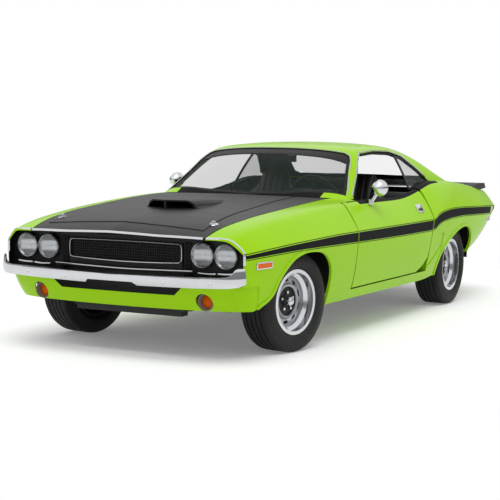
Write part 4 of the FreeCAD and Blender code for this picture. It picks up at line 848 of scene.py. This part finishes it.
# Amber lamps at the bottom of grey bowls
amber = {"x": 0.589, "back": -0.665, "height": 0.373, "steps": 48,
         "bowl": [(0.0005, 0.0528), (0.049, 0.0528), (0.052, 0.0518), (0.0515, 0.0502), (0.016, 0.0408),
                  (0.0005, 0.0408)],
         "lens": [(0.0010, 0.0400), (0.0140, 0.0399), (0.0175, 0.0340), (0.0205, 0.0230), (0.0225, 0.0120),
                  (0.0230, 0.0040)]}
amberBowls, amberLenses = [], []
for side in (-1, 1):
    centre = (side * amber["x"], aft(amber["back"]), amber["height"])
    amberBowls.append(turnedAt(amber["bowl"], amber["steps"], centre, forward, True))
    amberLenses.append(turnedAt(amber["lens"], amber["steps"], centre, forward))
finished(joined(amberBowls), "amberBowls", "body", greyMetal)
lenses = finished(joined(amberLenses), "amberLenses", "body", amberLens)
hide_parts("amber_lamps")


# Side marker lamps and door handles sit on the body's skin
def skinFrame(names, side, y, z):
    place, normal = touch(names, (side * 1.3, aft(y), z), (-side, 0, 0))
    upward = Vector((0, 0, 1))
    along = upward.cross(normal).normalized()
    turn = Matrix((along, normal.cross(along).normalized(), normal)).transposed().to_4x4()
    return Matrix.Translation(place) @ turn


def plateOn(where, length, height, depth, bevel, sunk=0.003, shift=(0, 0)):
    deselect()
    bpy.ops.mesh.primitive_cube_add(size=1, location=(0, 0, 0))
    piece = bpy.context.object
    piece.scale = (length, height, depth)
    piece.location = (shift[0], shift[1], depth / 2 - sunk)
    modified(applied(piece), "BEVEL", width=bevel, segments=3)
    piece.matrix_world = where
    return applied(piece)


def hollowed(piece, direction, inset, depth):
    only(piece)
    bpy.ops.object.mode_set(mode="EDIT")
    bpy.ops.mesh.select_all(action="DESELECT")
    bpy.ops.object.mode_set(mode="OBJECT")
    faces = [f for f in piece.data.polygons if f.normal.dot(direction) > 0.99]
    widest = max(faces, key=lambda f: f.area)
    widest.select = True
    bpy.ops.object.mode_set(mode="EDIT")
    bpy.ops.mesh.select_mode(type="FACE")
    bpy.ops.mesh.inset(thickness=inset)
    bpy.ops.mesh.extrude_region_move(TRANSFORM_OT_translate={"value": tuple(-direction * depth)})
    bpy.ops.object.mode_set(mode="OBJECT")
    return piece


marker = {"front": (-0.556, 0.596, 0.162, 0.045), "rear": (3.602, 0.640, 0.140, 0.036), "depth": 0.010,
          "edge": 0.0038, "inset": 2.2}
markerFrames, markerLenses = [], {"front": [], "rear": []}
for end, panel in (("front", "fender"), ("rear", "quarter")):
    y, z, length, height = marker[end]
    for side, word in sides:
        where = skinFrame([f"{panel}_{word}"], side, y, z)
        outer = plateOn(where, length, height, marker["depth"], 0.004, 0.005)
        markerFrames.append(hollowed(outer, where.to_3x3().col[2].normalized(), marker["edge"], 0.003))
        rim = marker["inset"] * marker["edge"]
        lens = plateOn(where, length - rim, height - rim, marker["depth"], 0.003, 0.0065)
        markerLenses[end].append(lens)
finished(joined(markerFrames), "markerFrames", "body", chrome, 30)
finished(joined(markerLenses["front"]), "amberMarkers", "body", amberLens, 30)
finished(joined(markerLenses["rear"]), "redMarkers", "body", redLens, 30)

handle = {"y": 1.963, "z": 0.811, "length": 0.104, "height": 0.070, "rim": 0.018, "paddle": (0.44, 0.18),
          "inset": (0.36, -0.22)}
for side, word in sides:
    where = skinFrame([f"door_{word}"], side, handle["y"], handle["z"])
    plate = plateOn(where, handle["length"], handle["height"], 0.012, 0.004, 0.005)
    hollowed(plate, where.to_3x3().col[2].normalized(), 0.007, 0.0065)
    inner = handle["length"] - handle["rim"]
    tall, up = (share * handle["height"] for share in handle["paddle"])
    paddle = plateOn(where, inner, tall, 0.008, 0.003, 0.0005, (0, up))
    finished(joined([plate, paddle]), f"doorHandle_{word}", f"{word}_door", chrome, 30)
    # a satin black plate under the paddle is painted shade in the handle's finger recess
    tall, up = (share * handle["height"] for share in handle["inset"])
    inset = plateOn(where, inner, tall, 0.004, 0.001, 0.0012, (0, up))
    finished(inset, f"handleRecessShade_{word}", f"{word}_door", satin, 30)
print("lamps, pins and handles made")


# Window trims: plan outlines are dropped on the roof, side outlines are pushed in from the side
def dropped(names, outline):
    return cast(names, [(x, aft(y), 1.6) for x, y in outline], downward)


def pushed(names, side, outline):
    return cast(names, [(side * 1.4, aft(y), z) for y, z in outline], (-side, 0, 0))


def between(points, count):  # evenly spaced places along an outline
    lengths = [0.0]
    for a, b in zip(points, points[1:]):
        lengths.append(lengths[-1] + math.dist(a, b))
    places = []
    for i in range(count):
        want = lengths[-1] * i / (count - 1)
        k = max(n for n in range(len(points) - 1) if lengths[n] <= want + 1e-9)
        share = (want - lengths[k]) / (lengths[k + 1] - lengths[k])
        places.append(tuple(a + (b - a) * share for a, b in zip(points[k], points[k + 1])))
    return places


glassTrim = {"screen": [(0.722, 1.030), (0.706, 1.082), (0.679, 1.152), (0.641, 1.253), (0.613, 1.344),
                        (0.584, 1.394), (0.534, 1.412), (0.280, 1.392), (0.0, 1.380)],
             "rear": [(0.0, 2.577), (0.350, 2.570), (0.503, 2.551), (0.538, 2.586), (0.608, 2.900),
                      (0.566, 2.958), (0.300, 2.976), (0.0, 2.980)],
             "screenRadius": 0.0042, "rearRadius": 0.005}
screenHalf = between(glassTrim["screen"], 26)
screenAll = screenHalf + [(-x, y) for x, y in reversed(screenHalf[:-1])]
screenLine = dropped(["roof"], screenAll)
rearHalf = between(glassTrim["rear"], 24)
rearAll = rearHalf + [(-x, y) for x, y in reversed(rearHalf[1:-1])]
rearLine = dropped(["roof", "quarter_left", "quarter_right"], rearAll)
screenTrim = strip(screenLine, glassTrim["screenRadius"])
rearTrim = strip(rearLine, glassTrim["rearRadius"], True)
finished(joined([screenTrim, rearTrim]), "glassTrim", "body", brightTrim)

sideTrim = {"window": [(1.036, 0.894), (1.076, 0.933), (1.146, 0.985), (1.246, 1.053), (1.346, 1.125),
                       (1.432, 1.187), (1.520, 1.228), (1.797, 1.242), (2.088, 1.233), (2.274, 1.198),
                       (2.452, 1.100), (2.600, 0.991)],
            "seal": [(1.058, 0.890), (1.092, 0.919), (1.161, 0.968), (1.261, 1.035), (1.361, 1.107),
                     (1.446, 1.168), (1.530, 1.208), (1.797, 1.221), (2.084, 1.212), (2.262, 1.178),
                     (2.436, 1.084), (2.560, 0.996)],
            "windowRadius": 0.005, "sealRadius": 0.0115, "sealDepth": 0.010,
            "beltRadius": 0.003, "beltFrom": range(17, 30),
            "belt": {"door": (0.84, 1.1, 1.4, 1.7, 1.95, 2.12), "quarter": (2.18, 2.3, 2.42, 2.52, 2.585)}}
sideWindow = between(sideTrim["window"], 30)


def sideSeal(side):  # just inside the window's edge, at the depth of the frame
    points = []
    for (y, z), (sealY, sealZ) in zip(sideWindow, between(sideTrim["seal"], 30)):
        for place in pushed(["roof"], side, [(y, z)]):
            points.append(Vector((place.x - side * sideTrim["sealDepth"], aft(sealY), sealZ)))
    return points


trims, seals = [], []
for side, word in sides:
    trims.append(strip(pushed(["roof"], side, sideWindow), sideTrim["windowRadius"]))
    seals.append(strip(sideSeal(side), sideTrim["sealRadius"]))
finished(joined(trims), "sideWindowTrim", "body", brightTrim)
finished(joined(seals), "sideWindowSeals", "body", rubber)


# Rubber seal on the top of each door and quarter, at the innermost place that a ray from above meets
def beltLine(names, side, ys):
    line = []
    for y in ys:
        starts = [(side * (0.70 + step * 0.006), aft(y), 1.3) for step in sideTrim["beltFrom"]]
        line += [place + Vector((0, 0, 0.001)) for place in cast(names, starts, downward)[:1]]
    return line


for side, word in sides:
    for panel, ys in sideTrim["belt"].items():
        body = f"{word}_door" if panel == "door" else "body"
        seal = strip(beltLine([f"{panel}_{word}"], side, ys), sideTrim["beltRadius"])
        finished(seal, f"beltSeal_{panel}_{word}", body, rubber)
print("window trims made")

# Seats: each pad is swollen as cloth from a smaller block, then its seams are pressed in
seat = {"x": 0.370, "voxel": 0.011, "pressure": 4.0, "frames": 20, "cap": 0.014, "seamDepth": 0.007,
        "seamWidth": 0.009, "fill": 0.7,
        "cushion": [(1.402, 0.412), (1.400, 0.480), (1.425, 0.522), (1.700, 0.512), (1.872, 0.500),
                    (1.885, 0.412)],
        "back": [(1.870, 0.520), (1.972, 0.508), (2.105, 0.850), (2.146, 1.058), (2.092, 1.066),
                 (2.004, 0.852)],
        "backFront": [(0.205, 0.500), (0.230, 0.800), (0.222, 0.880), (0.145, 0.955), (0.125, 1.040),
                      (0.095, 1.072)],
        "bench": [(2.228, 0.438), (2.226, 0.505), (2.250, 0.545), (2.500, 0.535), (2.572, 0.530),
                  (2.575, 0.442)],
        "rest": [(2.535, 0.556), (2.632, 0.570), (2.754, 0.892), (2.698, 0.908)],
        "cushionSeams": (-0.11, -0.055, 0.0, 0.055, 0.11), "benchSeams": (-0.30, -0.15, 0.0, 0.15, 0.30)}


def swollen(piece):
    modified(piece, "REMESH", mode="VOXEL", voxel_size=seat["voxel"])
    modified(piece, "SMOOTH", factor=0.5, iterations=4)
    before = corners(piece)
    only(piece)
    cloth = piece.modifiers.new("Cloth", "CLOTH")
    cloth.settings.use_pressure = True
    cloth.settings.uniform_pressure_force = seat["pressure"]
    cloth.settings.effector_weights.gravity = 0
    cloth.point_cache.frame_end = seat["frames"]
    for frameNumber in range(1, seat["frames"] + 1):
        bpy.context.scene.frame_set(frameNumber)
    bpy.ops.object.modifier_apply(modifier=cloth.name)
    bpy.context.scene.frame_set(1)
    swell = corners(piece) - before
    length = np.linalg.norm(swell, axis=1, keepdims=True)
    swell *= np.minimum(1.0, seat["cap"] / np.maximum(length, 1e-9))
    return moved(piece, before + swell)


def pressed(piece, seams, middle):  # upright seams at places across the pad
    points = corners(piece)
    normals = np.zeros(len(points) * 3)
    piece.data.vertices.foreach_get("normal", normals)
    depth = sum(np.exp(-((points[:, 0] - middle - seam) / seat["seamWidth"]) ** 2) for seam in seams)
    points -= normals.reshape(-1, 3) * (depth * seat["seamDepth"])[:, None]
    return moved(piece, points)


def pad(name, outline, half, middle, seams, front=None):
    piece = prism(outline, half, sideways, (middle, aft(0), 0))
    if front:
        both = front + [(-x, z) for x, z in reversed(front)]
        cutter = prism(both, 1.0, frontways, (middle, aft(2.0), 0))
        modified(piece, "BOOLEAN", operation="INTERSECT", object=cutter)
        bpy.data.objects.remove(cutter)
    swollen(piece)
    modified(piece, "SUBSURF", levels=1, render_levels=1)
    pressed(piece, seams, middle)
    finished(piece, name, "body", vinyl, 180)
    return piece


for side, word in sides:
    middle = side * seat["x"]
    cushion = pad(f"seatCushion_{word}", seat["cushion"], 0.232, middle, seat["cushionSeams"])
    pad(f"seatBack_{word}", seat["back"], 0.24, middle, seat["cushionSeams"], seat["backFront"])
    if side > 0:
        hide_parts("front_seats")
bench = pad("rearCushion", seat["bench"], 0.585, 0.0, seat["benchSeams"])
pad("rearBackrest", seat["rest"], 0.575, 0.0, seat["benchSeams"])
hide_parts("rear_seat")

# Rails, feet, pan and hinge plates under each seat: offset, half width, and the span in Y and Z
railParts = [(-0.17, 0.018, 1.45, 1.84, 0.2955, 0.330), (-0.17, 0.012, 1.47, 1.51, 0.325, 0.405),
             (-0.17, 0.012, 1.76, 1.80, 0.325, 0.405), (0.17, 0.018, 1.45, 1.84, 0.2955, 0.330),
             (0.17, 0.012, 1.47, 1.51, 0.325, 0.405), (0.17, 0.012, 1.76, 1.80, 0.325, 0.405),
             (0.0, 0.20, 1.44, 1.86, 0.390, 0.408), (-0.236, 0.008, 1.80, 1.92, 0.395, 0.545, 0.006),
             (0.236, 0.008, 1.80, 1.92, 0.395, 0.545, 0.006)]
rails = []
for side in (-1, 1):
    for offset, half, *spans in railParts:
        x = side * seat["x"] + offset
        rails.append(slab(x - half, x + half, *spans))
finished(joined(rails), "seatRails", "body", trimBlack)
print("seats made")

# Liners close the rear wheel arches behind and ahead of the wheels
arch = {"behind": [(3.150, 0.700), (3.170, 0.650), (3.184, 0.580), (3.190, 0.500), (3.190, 0.420),
                   (3.186, 0.345)],
        "ahead": [(2.430, 0.700), (2.385, 0.640), (2.345, 0.560), (2.325, 0.480), (2.318, 0.400)],
        "wall": 0.003, "inner": 0.612, "gap": 0.012}
liners = []
for side, word in sides:
    for line in (arch["behind"], arch["ahead"]):
        step = arch["wall"] if line is arch["behind"] else -arch["wall"]
        skin = pushed([f"quarter_{word}"], side, line)
        outer = min(abs(place.x) for place in skin) - arch["gap"]
        sheet = line + [(y + step, z) for y, z in reversed(line)]
        liners.append(prism(sheet, (outer - arch["inner"]) / 2, sideways,
                            (side * (outer + arch["inner"]) / 2, aft(0), 0)))
finished(joined(liners), "archLiners", "body", under, 30)

# Floor, light and camera
stage = {"nearGlow": 0.17, "fade": 3.25, "fadeHalf": 1.35, "narrow": 1.55, "floor": 0.95, "wall": 0.42,
         "wallRadius": 18, "wallHeight": 5.2}


def seenRays(look):  # rays that see the background: straight, in metal and through glass
    ray = look.tree.nodes.new("ShaderNodeLightPath")
    names = ("Is Camera Ray", "Is Glossy Ray", "Is Transmission Ray")
    kinds = [Wire(look, ray.outputs[name]) for name in names]
    return sum(kinds[1:], kinds[0]).capped()


def makeStage():
    deselect()
    bpy.ops.mesh.primitive_plane_add(size=80, location=(0, 0, 0))
    floor = bpy.context.object
    floor.name = "studioFloor"
    look = Look("floorWhite", Roughness=0.9, Specular_IOR_Level=0.0, Emission_Strength=1.0)
    away = (look.x * look.x * stage["narrow"] + look.y * look.y) ** 0.5
    far = away.over(stage["fade"], stage["fadeHalf"])
    seen = seenRays(look)
    look.feed("Base Color", look.blend(far * seen, grey(stage["floor"]), grey(0.0)))
    near = look.blend(seen, grey(0.0), grey(stage["nearGlow"]))
    look.feed("Emission Color", look.blend(far * seen, near, grey(1.0)))
    floor.data.materials.append(look.material)
    deselect()
    bpy.ops.mesh.primitive_cylinder_add(vertices=64, radius=stage["wallRadius"], depth=stage["wallHeight"],
                                        end_fill_type="NOTHING", location=(0, 0, stage["wallHeight"] / 2))
    wall = bpy.context.object
    wall.name = "studioWall"
    wall.visible_camera = False
    wall.visible_transmission = False
    dark = Look("wallGrey", Base_Color=grey(stage["wall"]), Roughness=0.9, Specular_IOR_Level=0.0)
    wall.data.materials.append(dark.material)


light = {"world": 0.67, "key": 1.3, "softness": 40, "lean": (18, 14)}


def makeLight():
    world = bpy.data.worlds.new("studio")
    world.use_nodes = True
    bpy.context.scene.world = world
    tree = world.node_tree
    back = tree.nodes["Background"]
    ray = tree.nodes.new("ShaderNodeLightPath")
    anyRay = ray.outputs["Is Camera Ray"]
    for kind in ("Is Glossy Ray", "Is Transmission Ray"):
        either = tree.nodes.new("ShaderNodeMath")
        either.operation = "MAXIMUM"
        tree.links.new(anyRay, either.inputs[0])
        tree.links.new(ray.outputs[kind], either.inputs[1])
        anyRay = either.outputs[0]
    seen = tree.nodes.new("ShaderNodeMix")
    seen.data_type = "RGBA"
    seen.inputs[6].default_value = grey(light["world"])
    seen.inputs[7].default_value = grey(1.0)
    tree.links.new(anyRay, seen.inputs[0])
    tree.links.new(seen.outputs[2], back.inputs["Color"])
    lean = [math.radians(angle) for angle in light["lean"]]
    bpy.ops.object.light_add(type="SUN", location=(3, -4, 8), rotation=(*lean, 0))
    sun = bpy.context.object
    sun.data.energy = light["key"]
    sun.data.angle = math.radians(light["softness"])


camera = {"place": (4.583, -7.753, 1.423), "yaw": 27.73, "pitch": 5.2, "roll": 0.62, "focus": 1378.4,
          "frame": 500}


def makeCamera():
    data = bpy.data.cameras.new("photoCamera")
    eye = bpy.data.objects.new("photoCamera", data)
    bpy.context.scene.collection.objects.link(eye)
    data.sensor_width = 36
    data.lens = camera["focus"] / camera["frame"] * data.sensor_width
    x, y, z = camera["place"]
    turn = Matrix.Identity(4)
    for angle, axis in ((camera["yaw"], "Z"), (90 - camera["pitch"], "X"), (camera["roll"], "Z")):
        turn = turn @ Matrix.Rotation(math.radians(angle), 4, axis)
    eye.matrix_world = Matrix.Translation((x, aft(y), z)) @ turn
    bpy.context.scene.camera = eye


makeStage()
makeLight()
makeCamera()
bpy.context.scene.view_settings.view_transform = "Standard"
print("stage, light and camera set")
